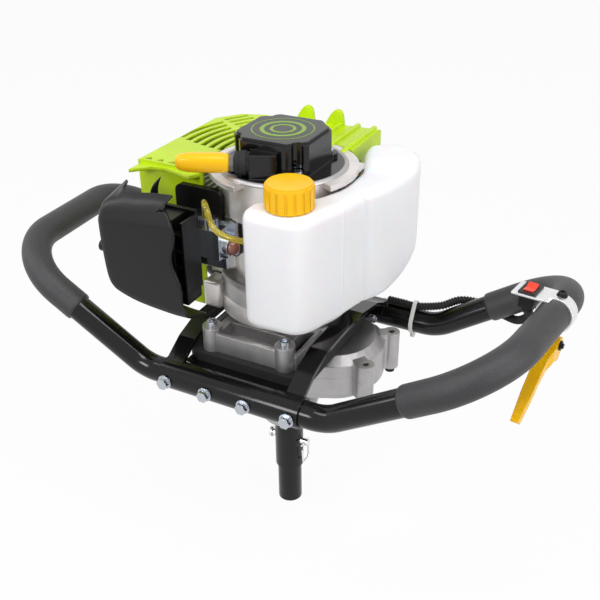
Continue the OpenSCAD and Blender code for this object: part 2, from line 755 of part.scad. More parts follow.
module clutch_housing() {
    side_x = house_bolt_x + 9.5;
    color([0.72, 0.72, 0.72]) lift() difference() {
        union() {
            post(bell_r, clutch_z, case_z);
            translate([0, 0, clutch_z]) linear_extrude(clutch_h - 6)
                soft_square([-house_bolt_x, -house_bolt_front - 6], [house_bolt_x, 0], 4);
            for (x = [-house_bolt_x, house_bolt_x], y = [-house_bolt_front, house_bolt_back])
                translate([x, y, 0]) post(9.5, clutch_z, case_z - 1);
            for (x = [-house_bolt_x, house_bolt_x])
                slab([x - 8, 0, clutch_z], [x + 8, house_bolt_back, case_z - 6]);
            for (s = [-1, 1])
                slab([s * side_x - 2, -house_bolt_front, clutch_z], [s * side_x + 2, -20, case_z - 12]);
        }
        post(bell_r - bell_wall, clutch_z + 4, case_z + 1);
        post(spigot_r - 3, clutch_z - 1, case_z);
        for (x = [-house_bolt_x, house_bolt_x], y = [-house_bolt_front, house_bolt_back])
            translate([x, y, 0]) post(screw_r + fit_gap, clutch_z - 1, case_z + 1);
        slab([-30, -house_bolt_front - 2, clutch_z + 6], [30, -bell_r - 2, case_z + 1]);
    }
}

module housing_bolts() {
    color([0.75, 0.76, 0.78]) lift()
        for (x = [-house_bolt_x, house_bolt_x], y = [-house_bolt_front, house_bolt_back])
        translate([x, y, 0]) {
            post(screw_r, plate_z - 6, case_z);
            difference() {
                post(5, case_z - 1 + fit_gap, case_z + 4);
                translate([0, 0, case_z + 1.5]) cylinder(r = 2.9, h = 4, $fn = 6);
            }
        }
}

module crankcase() {
    body_z = case_z + case_foot_h;
    color([0.62, 0.6, 0.57]) lift() difference() {
        union() {
            post(case_foot_r, case_z, body_z - 4);
            translate([0, 0, body_z - 4]) cylinder(r1 = case_foot_r, r2 = case_r + 2, h = 10);
            post(case_r, body_z, fan_z);
            slab([-62, -36, cyl_z - 36], [-20, 36, fan_z - 2]);
            slab([intake[0] - 18, seat_y, intake[2] - 20], [intake[0] + 18, -20, intake[2] + 12]);
        }
        // Rear bolts of the clutch housing stand beside the foot
        for (x = [-house_bolt_x, house_bolt_x], y = [-house_bolt_front, house_bolt_back])
            translate([x, y, 0]) post(7, case_z - 1, case_z + 6);
        post(bell_r - bell_wall, case_z - 1, recess_top);
        post(crank_r + run_gap, case_z, fan_z + 1);
        post(web_r + 4, cyl_z - web_t - 9, cyl_z + web_t + 9);
        translate([0, 0, cyl_z]) along_x(-70, 0, 22);
        translate([intake[0], 0, intake[2] - 4]) along_y(seat_y - 1, -20, 9);
    }
}

module cylinder_fin(x) {
    translate([x, 0, cyl_z]) rotate([0, 90, 0]) linear_extrude(2.4)
        soft_square([-33, -38], [36, 38], 8);
}

module engine_cylinder() {
    color([0.55, 0.54, 0.52]) lift() difference() {
        union() {
            translate([0, 0, cyl_z]) along_x(-head_x, -62, 28);
            for (x = [-head_x:7.6:-66]) cylinder_fin(x);
            slab([-96, 20, cyl_z - 16], [-68, 44, cyl_z + 16]);
        }
        translate([0, 0, cyl_z]) along_x(-head_x + 12, -61, 22);
        translate([0, 0, cyl_z]) along_x(-head_x - 1, -head_x + 13, 5 + fit_gap);
        translate([-82, 0, cyl_z]) along_y(20, 45, 9);
    }
}

module crankshaft() {
    color([0.6, 0.6, 0.62]) lift() {
        post(crank_r, drum_floor + 5, cyl_z - 5);
        post(crank_r, cyl_z + 5, starter_z - 2);
        for (s = [-1, 1]) translate([0, 0, cyl_z + s * (5 + web_t / 2) - web_t / 2]) {
            cylinder(r = web_r, h = web_t);
        }
        translate([-throw, 0, 0]) post(6, cyl_z - 6, cyl_z + 6);
    }
}

module flywheel() {
    low = fan_z + 8;
    color([0.66, 0.66, 0.67]) lift() difference() {
        union() {
            post(flywheel_r, low, low + 6);
            post(16, low, starter_z - 6);
            for (a = [0:30:330]) rotate(a) translate([14, -1.2, low]) cube([flywheel_r - 15, 2.4, 20]);
        }
        post(crank_r + fit_gap, low - 1, starter_z);
    }
}

module fan_housing() {
    tab_y = [-21, 33];
    color([0.7, 0.7, 0.69]) lift() difference() {
        union() {
            post(fan_r, fan_z, starter_z);
            post(rim_r, starter_z - 5, starter_z);
            slab([40, tab_y[0], starter_z - 5], [strip_x + 6, tab_y[1], starter_z]);
        }
        post(fan_r - 5, fan_z + 4, starter_z + 1);
        post(crank_r + 3, fan_z - 1, fan_z + 5);
        // The rim is cut away beside the fuel cap
        difference() {
            linear_extrude(starter_z + 1) polygon([[0, 0], [120 * cos(-100), 120 * sin(-100)], [80, -130],
                [120 * cos(-26), 120 * sin(-26)]]);
            post(fan_r, 0, starter_z + 2);
        }
        // Air leaves to the finned cylinder
        slab([-fan_r - 1, -28, fan_z + 10], [-fan_r + 12, 28, starter_z - 8]);
    }
}

module ignition_coil() {
    color([0.1, 0.1, 0.1]) lift() intersection() {
        slab([flywheel_r + 2, -13, fan_z + 4], [fan_r, 13, fan_z + 26]);
        post(fan_r - 5 - fit_gap, fan_z, starter_z);
    }
}

module spark_plug() {
    color([0.88, 0.88, 0.86]) lift() translate([0, 0, cyl_z]) {
        along_x(-head_x - eps, -head_x + 11, 5);
        translate([-head_x - 6, 0, 0]) rotate([0, 90, 0]) cylinder(r = 9, h = 6, $fn = 6);
        along_x(-head_x - 14, -head_x - 5, 5);
    }
}

module plug_boot() {
    color([0.06, 0.06, 0.06]) lift() translate([0, 0, cyl_z]) difference() {
        along_x(-head_x - 24, -head_x - 7, 8);
        along_x(-head_x - 15, -head_x, 5 + fit_gap);
    }
}

// Plan of the hood: it wraps round the fan housing from the intake side to the exhaust side
// Outline of the hood's walls; the long edges at the back and the left slope in towards the top
hood_wall = [[-59, -hood_front], [hood_right, 40], [hood_right, hood_back - 16], [hood_right - 14, hood_back],
    [-92, hood_back - 8], [-122, hood_back - 18], [-hood_left, hood_back - 52],
    [-hood_left, -hood_front + 36],
    [-hood_left + 18, -hood_front]];
module hood_body(inset) {
    top = starter_z - 1;
    low = top - hood_depth - (inset > 0 ? 1 : 0);
    difference() {
        translate([0, 0, low]) linear_extrude(top - inset - low) polygon(inset_outline(hood_wall, inset));
        for (i = [3:6]) {
            run = hood_wall[i + 1] - hood_wall[i];
            translate([hood_wall[i][0], hood_wall[i][1], top - shoulder]) rotate(atan2(run[1], run[0]))
                rotate([shoulder_angle, 0, 0]) translate([-60, -40, -inset]) cube([norm(run) + 120, 120, 60]);
        }
    }
}
module arc_slot(r, w, a0, a1) {
    translate([10, 22, starter_z - 12]) rotate(a0) rotate_extrude(angle = a1 - a0)
        translate([r, 0]) square([w, 20]);
}

module engine_hood() {
    top = starter_z - 1;
    lip_x = -hood_left + 22;
    color([0.55, 0.8, 0.05]) lift() difference() {
        union() {
            hood_body(0);
            // Wavy lip over the intake side
            translate([0, 0, top - 6]) linear_extrude(3)
                polygon([[-60, -hood_front + 2], [lip_x, -hood_front + 2],
                [lip_x, -hood_front - 20], [lip_x + 6, -hood_front - 14], [lip_x + 15, -hood_front - 6],
                [-97, -hood_front - 3], [-80, -hood_front - 7], [-66, -hood_front - 11]]);
            // Two upright fins over the exhaust
            for (x = [-41, -7]) translate([x, 126, top - 9]) rotate([90, 0, 0]) linear_extrude(4)
                polygon([[-11, 0], [10, 0], [9, 8], [6, 16], [1, 23.5], [-3, 18], [-8, 9]]);
        }
        hood_body(hood_t);
        // Round the fan housing the wall is only a short lip
        post(rim_r + 3, top - 20, top + 1);
        post(rim_r + hood_t + 5, 0, top - 16);
        // Louvres
        for (i = [0:slats - 1]) arc_slot(82 + 10.5 * i, 5.5, 160 - i, 190 - 2 * i);
        for (i = [0:3]) arc_slot(110 + 10 * i, 5, 139 + i, 153);
        // Three notches along the intake edge
        for (x = [-121, -108, -95]) translate([x, -hood_front + 4, top - 7]) linear_extrude(8)
            polygon([[-4, 0], [4, 0], [0, 5]]);
        // The walls stop short of the fan housing's tab and the tank
        slab([-59, -hood_front - 30, 0], [hood_right + 1, -10, top + 1]);
        slab([-40, -hood_front - 1, 0], [hood_right + 1, 40, top + 1]);
        slab([-70, 20, 0], [hood_right + 1, 80, top - 16]);
    }
}

module muffler() {
    low = cyl_z - 44;
    wall = 2;
    color([0.25, 0.24, 0.23]) lift() difference() {
        union() {
            translate([0, 0, low]) linear_extrude(66) soft_square([-98, 60], [34, 118], 14);
            slab([-98, 44, cyl_z - 18], [-66, 62, cyl_z + 18]);
            translate([24, 0, low + 18]) along_y(114, 130, 8);
        }
        translate([0, 0, low + wall]) linear_extrude(66 - 2 * wall)
            soft_square([-98 + wall, 60 + wall], [34 - wall, 118 - wall], 14 - wall);
        translate([-82, 0, cyl_z]) along_y(43, 64, 9);
        translate([24, 0, low + 18]) along_y(112, 131, 6);
    }
}

module intake_insulator() {
    color([0.07, 0.07, 0.075]) lift() difference() {
        translate([0, seat_y, 0]) rotate([90, 0, 0]) linear_extrude(insulator_t)
            union() {
                soft_square([-86, intake[2] - 24], [insulator_x, intake[2] + 38], 7);
                soft_square([-64, intake[2] - 24], [-20, intake[2] + 10], 4);
            }
        translate([bore_x, 0, intake[2] - 4]) along_y(carb_y - 1, seat_y + 1, 9);
    }
}

module carburetor() {
    x = intake[0];
    z = intake[2] - 4;
    color([0.7, 0.71, 0.73]) lift() difference() {
        union() {
            slab([bore_x - 12, base_y, z - 14], [x + 14, carb_y, z + 14]);
            slab([bore_x - 16, carb_y - 5, z - 16], [x + 20, carb_y, z + 16]);
            slab([x - 16, base_y + 5, z - 24], [x + 18, carb_y - 7, z - 13]);
            translate([x, base_y + 12, 0]) post(6, z + 13, z + 21);
            translate([0, base_y + 12, z - 4]) along_x(x + 13, x + 20, 9.5);
            translate([x - 8, base_y + 14, z + 10]) post(1, 0, 14);
        }
        translate([bore_x, 0, z]) along_y(base_y - 1, carb_y + 1, 7);
        translate([0, base_y + 12, z - 4]) along_x(x + 14, x + 21, 7.6);
    }
}

module primer_bulb() {
    x = intake[0] + 14.5;
    color([0.8, 0.25, 0.2]) lift() translate([0, base_y + 12, intake[2] - 8]) difference() {
        union() {
            along_x(x + 3.5, x + 6, 7.2);
            translate([x + 6, 0, 0]) difference() {
                sphere(r = 7.2);
                slab([-10, -10, -10], [0, 10, 10]);
            }
        }
        translate([x + 6, 0, 0]) sphere(r = 5.8);
        along_x(x, x + 6, 5.8);
    }
}

module fuel_hose() {
    path = spline(hose_points, 4);
    color([0.85, 0.75, 0.15]) lift() swept(path, [for (p = path) 2.6], 1.4, 10);
}

// A block of the filter that follows the cover's outline
module filter_block(inset, y0, y1) {
    intersection() {
        translate([0, y1, 0]) rotate([90, 0, 0]) linear_extrude(y1 - y0) cover_front(inset);
        slab([filter_x - filter_w + inset, y0 - 1, filter_z + inset],
            [filter_x - 8 - inset, y1 + 1, filter_z + filter_h - inset]);
    }
}

module air_filter_base() {
    x0 = filter_x - filter_w;
    z1 = filter_z + filter_h;
    skin = filter_t + fit_gap;
    color([0.09, 0.09, 0.09]) lift() difference() {
        union() {
            slab([x0 + 12, base_y - 4, filter_z + 4], [filter_x, base_y, z1]);
            filter_block(skin, face_y, base_y - 3);
            slab([filter_x - filter_t, face_y, filter_z + 4], [filter_x, base_y, z1 - 4]);
            for (z = [filter_z + 16, filter_z + 36, filter_z + 56])
                slab([filter_x - 14, face_y + 8, z], [filter_x - 1, base_y - 3, z + 2.5]);
            translate([-80, 0, z1 + 6]) along_y(base_y - 12, base_y - 4, 3);
            slab([-83, base_y - 12, z1 - 6], [-77, base_y - 4, z1 + 6]);
        }
        filter_block(skin + filter_t, face_y - 1, base_y - 4);
        translate([bore_x, 0, intake[2] - 4]) along_y(base_y - 6, base_y + 1, 7);
    }
}

module filter_element() {
    color([0.15, 0.15, 0.14]) lift()
        filter_block(2 * filter_t + 3 * fit_gap, face_y + 2, base_y - 4 - fit_gap);
}

// Front view and side view of the filter cover
module cover_front(inset) {
    polygon([[-122 + inset, 150], [-118 + inset, 168 - inset], [-108, 176 - inset], [-44, 181 - inset],
        [-36 - inset, 176 - inset], [-45 - inset, 158], [-48 - inset, 130], [-44 - inset, 104],
        [-33 - inset, 84 + inset], [-46, 76 + inset], [-84, 82 + inset], [-104, 91 + inset],
        [-114 + inset, 106]]);
}

module cover_side(inset) {
    front = face_y - cover_d + inset;
    polygon([[face_y + 6, 70], [face_y + 6, 186], [face_y - 2, 184 - inset], [face_y - 10, 178 - inset],
        [front + 3, 166 - inset], [front, 152], [front, 96], [front + 3, 88 + inset],
        [face_y - 8, 78 + inset],
        [face_y, 72 + inset]]);
}

module cover_block(inset) {
    intersection() {
        translate([0, face_y + 6, 0]) rotate([90, 0, 0]) linear_extrude(60) cover_front(inset);
        rotate([90, 0, 90]) translate([0, 0, -140]) linear_extrude(140) cover_side(inset);
    }
}

module air_filter_cover() {
    color([0.07, 0.07, 0.075]) lift() difference() {
        cover_block(0);
        for (x = [0, 12]) translate([x, eps, 0]) cover_block(filter_t);
        // Clear of the base's walls and of the choke lever
        slab([-90, face_y - 1, filter_z + filter_h - 4], [-66, face_y + 7, 190]);
        translate([0, face_y - cover_d / 2, 124]) along_x(-130, -110, 2.5 + run_gap);
    }
}

module filter_knob() {
    color([0.06, 0.06, 0.06]) lift() translate([0, face_y - cover_d / 2, 124]) {
        along_x(-124, -112, 2.5);
        translate([-130, 0, 0]) rotate([0, 90, 0]) cylinder(r = 5.5, h = 7, $fn = 24);
    }
}

module choke_lever() {
    z = filter_z + filter_h + 6;
    color([0.05, 0.05, 0.05]) lift() difference() {
        translate([-80, base_y - 12.3, z]) rotate([90, 0, 0]) linear_extrude(4) {
            circle(6);
            polygon([[5, 3], [4, 14], [5, 21], [-1, 16], [-4, 10], [-5, 3]]);
        }
        translate([-80, 0, z]) along_y(base_y - 30, base_y - 12, 2);
    }
}

// Fuel tank: sections between an inner and an outer edge, carried round the engine from front to rear.
// Each station holds the inner edge, the outer edge, the rise of the underside and of the top,
// and how far it draws in.
tank_stations = [[8, -68, 8, -94, 0, 0, 9], [10, -67, 10, -95, 0, 0, 3], [17, -65, 18, -96, 0, 0, 0],
    [28, -60, 44, -96, 0, 0, 0], [38, -54, 62, -92, 0, 0, 0], [47, -45, 72, -78, 0, 0, 0],
    [56, -32, 81, -52, 0, 0, 0], [61, -14, 86, -22, 0, 0, 0], [62, -4, 92, -8, 0, 0, 0],
    [62, 10, 100, 14, 0, 0, 0], [62, 28, 107, 42, 8, 0, 0], [58, 48, 108, 66, 20, 5, 0],
    [51, 68, 100, 86, 28, 6, 0], [49, 79, 84, 98, 31, 6, 0], [48.5, 84, 76, 102, 32, 6, 3],
    [48, 87, 70, 104, 33, 6, 9]];

function tank_section(s, skin) = let (
        d = s[6] + skin, u = unit([s[2] - s[0], s[3] - s[1]]),
        a = [s[0], s[1]] + u * d, b = [s[2], s[3]] - u * d, w = norm(b - a),
        z0 = tank_low + s[4] + d, z1 = tank_high + s[5] - d, r = max(9 - 0.7 * d, 2))
    [for (k = [0:3], i = [0:3]) let (
            q = 90 * k + 30 * i, x = (k == 0 || k == 3 ? w - r : r) + r * cos(q),
            z = (k < 2 ? z1 - r : z0 + r) + r * sin(q)) [a[0] + u[0] * x, a[1] + u[1] * x, z]];

module tank_body(skin) {
    // The ends draw in with the wall
    shift = tank_move * [1, -1, 1, -1, 0, 0, 0];
    path = spline([for (s = tank_stations) s + shift], 2);
    last = len(path) - 1;
    rows = [for (q = path) tank_section(q, skin)];
    pick = skin > 0 ? [for (i = [2:last - 2]) rows[i]] : rows;
    n = len(pick);
    m = len(pick[0]);
    polyhedron(points = [for (r = pick) each r], faces = concat(
        [for (i = [0:n - 2], k = [0:m - 1]) let (a = i * m + k, b = i * m + (k + 1) % m)
            each [[a, b, a + m], [b, b + m, a + m]]],
        [[for (k = [m - 1:-1:0]) k], [for (k = [0:m - 1]) (n - 1) * m + k]]), convexity = 6);
}

module fuel_tank() {
    color([0.93, 0.93, 0.92, 0.85]) lift() difference() {
        union() {
            tank_body(0);
            translate([cap_x, cap_y, 0]) post(neck_r, tank_high - 4, tank_high + cap_h - 5);
            translate([tank_move, -84 - tank_move, intake[2] + 12]) along_x(-3, 12, 1);
        }
        tank_body(tank_wall);
        translate([cap_x, cap_y, 0]) post(neck_r - 3, tank_high - 8, tank_high + cap_h);
    }
}

module fuel_cap() {
    low = tank_high + 0.5;
    color([0.98, 0.7, 0.08]) lift() translate([cap_x, cap_y, 0]) difference() {
        union() {
            post(cap_r - 0.6, low, low + cap_h - 1.5);
            post(cap_r - 2, low + cap_h - 2, low + cap_h);
            for (a = [0:20:340]) rotate(a) translate([cap_r - 1.6, -2.6, low + 0.7])
                cube([1.6, 5.2, cap_h - 3.7]);
        }
        post(neck_r + move_gap, low - 1, low + cap_h - 3);
    }
}

module tank_strip() {
    color([0.05, 0.05, 0.05]) lift()
        slab([strip_x, -21, starter_z - 5 - strip_t], [strip_x + 6, 33, starter_z - 5]);
}

// Starter

module starter_plan(half, cut) {
    polygon([for (k = [0:3], j = [0, 1]) let (a = 90 * k, x = half, y = (j == 0 ? -1 : 1) * (half - cut))
        [x * cos(a) - y * sin(a), x * sin(a) + y * cos(a)]]);
}

module starter_corners() {
    for (a = [45:90:315]) rotate(a) translate([44, 0, 0]) children();
}

// Where the rope leaves the starter, along its pull
module at_rope() {
    translate(rope) rotate(pull_yaw) children();
}

module starter_cover() {
    top = starter_z + starter_h;
    color([0.03, 0.03, 0.035]) lift() difference() {
        union() {
            translate([0, 0, starter_z]) linear_extrude(starter_h - 2.5)
                starter_plan(starter_half, starter_cut);
            translate([0, 0, top - 2.6]) linear_extrude(2.6) starter_plan(starter_half - 2, starter_cut - 1);
            post(fan_r - 1, starter_z, starter_z + 2);
            starter_corners() post(8, starter_z, starter_z + 6);
            at_rope() slab([-0.6, -10, 2 - 13.8], [23, 12, 24 - 13.8]);
        }
        post(starter_half - starter_wall - 1.5, starter_z - 1, top - 5);
        starter_corners() {
            post(5.8, starter_z + 6, top + 1);
            post(2 + fit_gap, starter_z - 1, starter_z + 7);
        }
        at_rope() {
            along_x(-1, 40, rope_r + 1);
            along_x(-20, 0, bush_r + fit_gap);
        }
    }
    // Post that carries the reel
    color([0.03, 0.03, 0.035]) lift() post(6, starter_z + 8, top - 4);
}

module starter_screws() {
    color([0.75, 0.76, 0.78]) lift() starter_corners() {
        post(2, starter_z - 0.5, starter_z + 6.5);
        post(4, starter_z + 6 + fit_gap, starter_z + 9);
    }
}

module starter_reel() {
    color([0.9, 0.9, 0.88]) lift() difference() {
        union() {
            post(rope_ring_r - 3, reel_z, reel_z + reel_t);
            post(starter_half - starter_wall - 3, reel_z, reel_z + 2);
            post(starter_half - starter_wall - 3, reel_z + reel_t - 2, reel_z + reel_t);
        }
        post(6 + run_gap, reel_z - 1, reel_z + reel_t + 1);
    }
}

module starter_rope() {
    color([0.2, 0.2, 0.2]) lift()
        ring(rope_ring_r + rope_r, rope_ring_r - 3 + fit_gap, reel_z + 2.2, reel_z + reel_t - 2.2);
}

module rope_bush() {
    color([0.1, 0.1, 0.1]) lift() at_rope() difference() {
        union() {
            along_x(-13, -eps, bush_r - 1);
            along_x(-9, -3, bush_r);
        }
        along_x(-14, 1, rope_r + 1);
    }
}

module starter_grip() {
    neck = -13 - move_gap;
    color([0.98, 0.7, 0.08]) lift() at_rope() {
        translate([neck - 8, 0, 0]) rotate([0, 90, 0]) cylinder(r = 8, h = 8, $fn = 6);
        hull() {
            for (z = [-4, 4]) translate([0, 0, z]) {
                translate([neck - 15, 0, 0]) rotate([0, 90, 0]) cylinder(r = 6, h = 8, $fn = 32);
                translate([neck - pull_len + 3, 0, 0]) sphere(r = 4.5, $fn = 32);
            }
            translate([neck - pull_len / 2, 0, 0]) rotate([0, 90, 0]) cylinder(r = 9.5, h = 8, $fn = 32);
        }
    }
}

// Controls on the right loop

module at_control() {
    lift() translate(control_at) rotate([0, 0, control_yaw]) rotate([control_pitch, 0, 0]) children();
}

module switch_bracket() {
    ri = grip_r + fit_gap;
    ro = ri + bracket_t;
    color([0.85, 0.86, 0.87]) at_control() difference() {
        union() {
            along_y(-7, 7, ro);
            slab([-tab_out, -13, ri - bracket_t], [-4, 13, ri]);
            slab([-ear_half, -7, -pivot_drop], [ear_half, 7, -10]);
            translate([0, 0, -pivot_drop]) along_x(-ear_half, ear_half, 7);
        }
        along_y(-30, 30, ri);
        translate([-tab_out + 13, 0, 0])
            slab([-rocker_size[0] / 2 - fit_gap, -rocker_size[1] / 2 - fit_gap, 0],
                [rocker_size[0] / 2 + fit_gap, rocker_size[1] / 2 + fit_gap, 30]);
        translate([0, 0, -pivot_drop]) along_x(-20, 20, 2.5 + fit_gap);
    }
}

module switch_body() {
    top = grip_r + fit_gap;
    w = rocker_size[0];
    l = rocker_size[1];
    color([0.05, 0.05, 0.05]) at_control() translate([-tab_out + 13, 0, 0]) difference() {
        union() {
            slab([-w / 2, -l / 2, top - 14], [w / 2, l / 2, top + 0.5]);
            slab([-w / 2 - 1.3, -l / 2 - 1.3, top + fit_gap / 2], [w / 2 + 1.3, l / 2 + 1.3, top + 1.6]);
        }
        slab([-w / 2 + 1.6, -l / 2 + 1.6, top - 9], [w / 2 - 1.6, l / 2 - 1.6, top + 2]);
    }
}

module switch_rocker() {
    top = grip_r + fit_gap;
    w = rocker_size[0] - 3.2 - 2 * move_gap;
    l = rocker_size[1] / 2 - 1.6 - move_gap - 0.5;
    color([0.85, 0.12, 0.08]) at_control() translate([-tab_out + 13, 0, top - 1]) rotate([90, 0, 90])
        translate([0, 0, -w / 2]) rotate(7) linear_extrude(w)
            polygon([[-l, 1], [-l, 4.6], [0, 2.9], [l, 4.6], [l, 1], [l - 2.5, -3], [-l + 2.5, -3]]);
}

module throttle_lever() {
    tip = [-lever_len, -0.65 * lever_len];
    slot = ear_half + move_gap;
    color([0.98, 0.7, 0.08]) at_control() translate([0, 0, -pivot_drop]) difference() {
        intersection() {
            rotate([90, 0, 90]) translate([0, 0, -lever_half]) linear_extrude(2 * lever_half) {
                circle(7.5);
                polygon([[-14, 0], [-0.5 * lever_len, -15], tip + [-3, 1], tip + [3, -4], [-0.5 * lever_len, -24],
                    [-11, -12], [1, -16], [7, -9], [6, 4.5], [-6, 4.5]]);
            }
            translate([0, 0, -70]) linear_extrude(90) polygon([[-lever_half - 1, 12], [-lever_half, -12],
                [-5.5, -20], [-5, -0.7 * lever_len], [-3.2, -lever_len - 4], [3.2, -lever_len - 4],
                [5, -0.7 * lever_len], [5.5, -20], [lever_half, -12], [lever_half + 1, 12]]);
        }
        along_x(-lever_half - 2, lever_half + 2, 2.5 + run_gap);
        // Room for the bracket's ear as the lever swings
        along_x(-slot, slot, 8);
        slab([-slot, -11, 0], [slot, 11, 30]);
    }
}

module throttle_pin() {
    reach = lever_half + move_gap;
    color([0.06, 0.06, 0.06]) at_control() translate([0, 0, -pivot_drop]) {
        along_x(-reach - 2, reach + 3, 2.5);
        along_x(reach, reach + 1.2, 4.5);
        along_x(-reach - 2, -reach, 4.5);
    }
}

module conduit() {
    fine = spline(conduit_points, 12);
    run = lengths(fine);
    total = run[len(run) - 1];
    ribs = floor(total / rib_pitch);
    rings = 2 * ribs;
    path = [for (i = [0:rings]) point_at(fine, run, total * i / rings)];
    color([0.06, 0.06, 0.06]) lift() swept(path,
        [for (i = [0:rings]) conduit_d / 2 - (i % 2 == 0 ? 0.9 : 0)], conduit_d / 2 - 1.8, 8);
}

module cable_tie() {
    top = conduit_points[1][2] + conduit_d / 2;
    color([0.9, 0.9, 0.88]) lift() translate([104, bar_back, 0]) rotate([90, 0, 90])
        linear_extrude(4) difference() {
        union() {
            hull() {
                circle(tube_r + fit_gap + 1.4);
                translate([0, top - 3.5]) circle(5.2);
            }
            translate([-6, -tube_r - 5]) square([6, 5]);
        }
        hull() {
            circle(tube_r + fit_gap);
            translate([0, top - 3.5]) circle(3.8);
        }
    }
}

frame();
left_handle();
right_handle();
left_grip();
right_grip();
handle_bolts();
damper_pad();
clutch_housing();
housing_bolts();
clutch_drum();
clutch_shoes();
input_bearing();
gearbox_cover();
gearbox_housing();
gearbox_bolts();
layshaft();
output_gear();
output_shaft();
output_bearings();
output_seal();
auger_rod();
hitch_pin();
pin_clip();
crankcase();
engine_cylinder();
crankshaft();
flywheel();
fan_housing();
ignition_coil();
spark_plug();
plug_boot();
engine_hood();
muffler();
intake_insulator();
carburetor();
primer_bulb();
fuel_hose();
air_filter_base();
filter_element();
air_filter_cover();
filter_knob();
choke_lever();
fuel_tank();
tank_strip();
fuel_cap();
starter_cover();
starter_screws();
starter_reel();
starter_rope();
rope_bush();
starter_grip();
switch_bracket();
switch_body();
switch_rocker();
throttle_lever();
throttle_pin();
conduit();
cable_tie();
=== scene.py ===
"""Dresses the packed earth auger power head: finishes for its pieces, and the soft and moulded forms.

Shapes are worked out in millimetres from the bars' axis, with Z up along the engine's axis and X to the
throttle handle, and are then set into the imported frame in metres. Lamps and settings are in metres.
"""
import math

import bpy
import numpy as np
from bpy.props import FloatProperty, FloatVectorProperty, PointerProperty
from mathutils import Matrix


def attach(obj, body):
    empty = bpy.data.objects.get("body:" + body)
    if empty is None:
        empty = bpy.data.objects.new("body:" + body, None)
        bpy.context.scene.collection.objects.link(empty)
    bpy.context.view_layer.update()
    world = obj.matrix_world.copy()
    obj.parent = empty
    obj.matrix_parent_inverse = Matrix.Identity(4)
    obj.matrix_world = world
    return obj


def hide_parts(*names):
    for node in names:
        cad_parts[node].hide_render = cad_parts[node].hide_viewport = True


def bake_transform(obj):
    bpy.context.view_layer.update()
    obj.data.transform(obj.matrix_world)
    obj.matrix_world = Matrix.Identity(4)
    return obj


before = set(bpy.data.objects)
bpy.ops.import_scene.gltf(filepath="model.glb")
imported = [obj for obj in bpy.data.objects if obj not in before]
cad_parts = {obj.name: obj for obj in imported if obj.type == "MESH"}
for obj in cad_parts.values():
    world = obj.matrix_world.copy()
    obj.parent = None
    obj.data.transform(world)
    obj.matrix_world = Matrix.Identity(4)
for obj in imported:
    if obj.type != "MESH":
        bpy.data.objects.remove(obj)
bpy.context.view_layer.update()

bl_info = {
    "name": "Earth auger power head",
    "version": (1, 0, 0),
    "blender": (4, 5, 0),
    "location": "View3D > Sidebar > Auger",
    "description": "Finishes and moulded pieces for the packed power head",
    "category": "Object",
}

MM = 0.001
# Height of the bars' axis over the lower end of the auger rod, in metres
BAR_HEIGHT = 0.215
# No path here runs along this direction, so rings that are squared by it don't twist
SECTION_UP = np.array([0.03, 0.05, 1.0])


def to_frame(points):
    """Points in millimetres, counted from the bars' axis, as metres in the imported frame."""
    p = np.asarray(points, dtype=float) * MM
    p[..., 2] += BAR_HEIGHT
    return p


# Curves


def unit(v):
    """Vectors along the last axis, each divided by its length."""
    v = np.asarray(v, dtype=float)
    return v / np.linalg.norm(v, axis=-1, keepdims=True)


def around(count):
    """Angles evenly spaced round a full turn."""
    return np.linspace(0.0, 2 * np.pi, count, endpoint=False)


def quarter(count):
    """Angles from nought to a right angle."""
    return np.linspace(0.0, np.pi / 2, count)


def run_along(points):
    """The length of a polyline up to each of its points."""
    steps = np.linalg.norm(np.diff(points, axis=0), axis=1)
    return np.concatenate([[0.0], np.cumsum(steps)])


def resample(points, count):
    """Points spaced evenly by arc length along a polyline."""
    run = run_along(points)
    s = np.linspace(0.0, run[-1], count)
    return np.stack([np.interp(s, run, points[:, k]) for k in range(points.shape[1])], axis=1)


def spline(points, per):
    """A smooth curve through the points: each span is a cubic with slopes from the neighbouring points."""
    p = np.asarray(points, dtype=float)
    q = np.concatenate([p[:1], p, p[-1:]])
    t = np.linspace(0.0, 1.0, per, endpoint=False)[None, :, None]
    a, b, c, d = q[:-3, None], q[1:-2, None], q[2:-1, None], q[3:, None]
    bend = (2 * a - 5 * b + 4 * c - d) * t**2 + (3 * b - a - 3 * c + d) * t**3
    span = 0.5 * (2 * b + (c - a) * t + bend)
    return np.concatenate([span.reshape(-1, p.shape[1]), p[-1:]])


def bent_path(corners, bend, per=28):
    """Straight runs joined by round bends: at each inner corner an arc touches both runs."""
    p = np.asarray(corners, dtype=float)
    pieces = [p[:1]]
    for i in range(1, len(p) - 1):
        u, w = unit(p[i] - p[i - 1]), unit(p[i + 1] - p[i])
        turn = math.acos(float(u @ w))
        centre = p[i] + unit(w - u) * bend / math.cos(turn / 2)
        x = unit(p[i] - u * bend * math.tan(turn / 2) - centre)
        a = np.linspace(0.0, turn, per)[:, None]
        pieces.append(centre + bend * (x * np.cos(a) + u * np.sin(a)))
    pieces.append(p[-1:])
    return np.concatenate(pieces)


# Surfaces


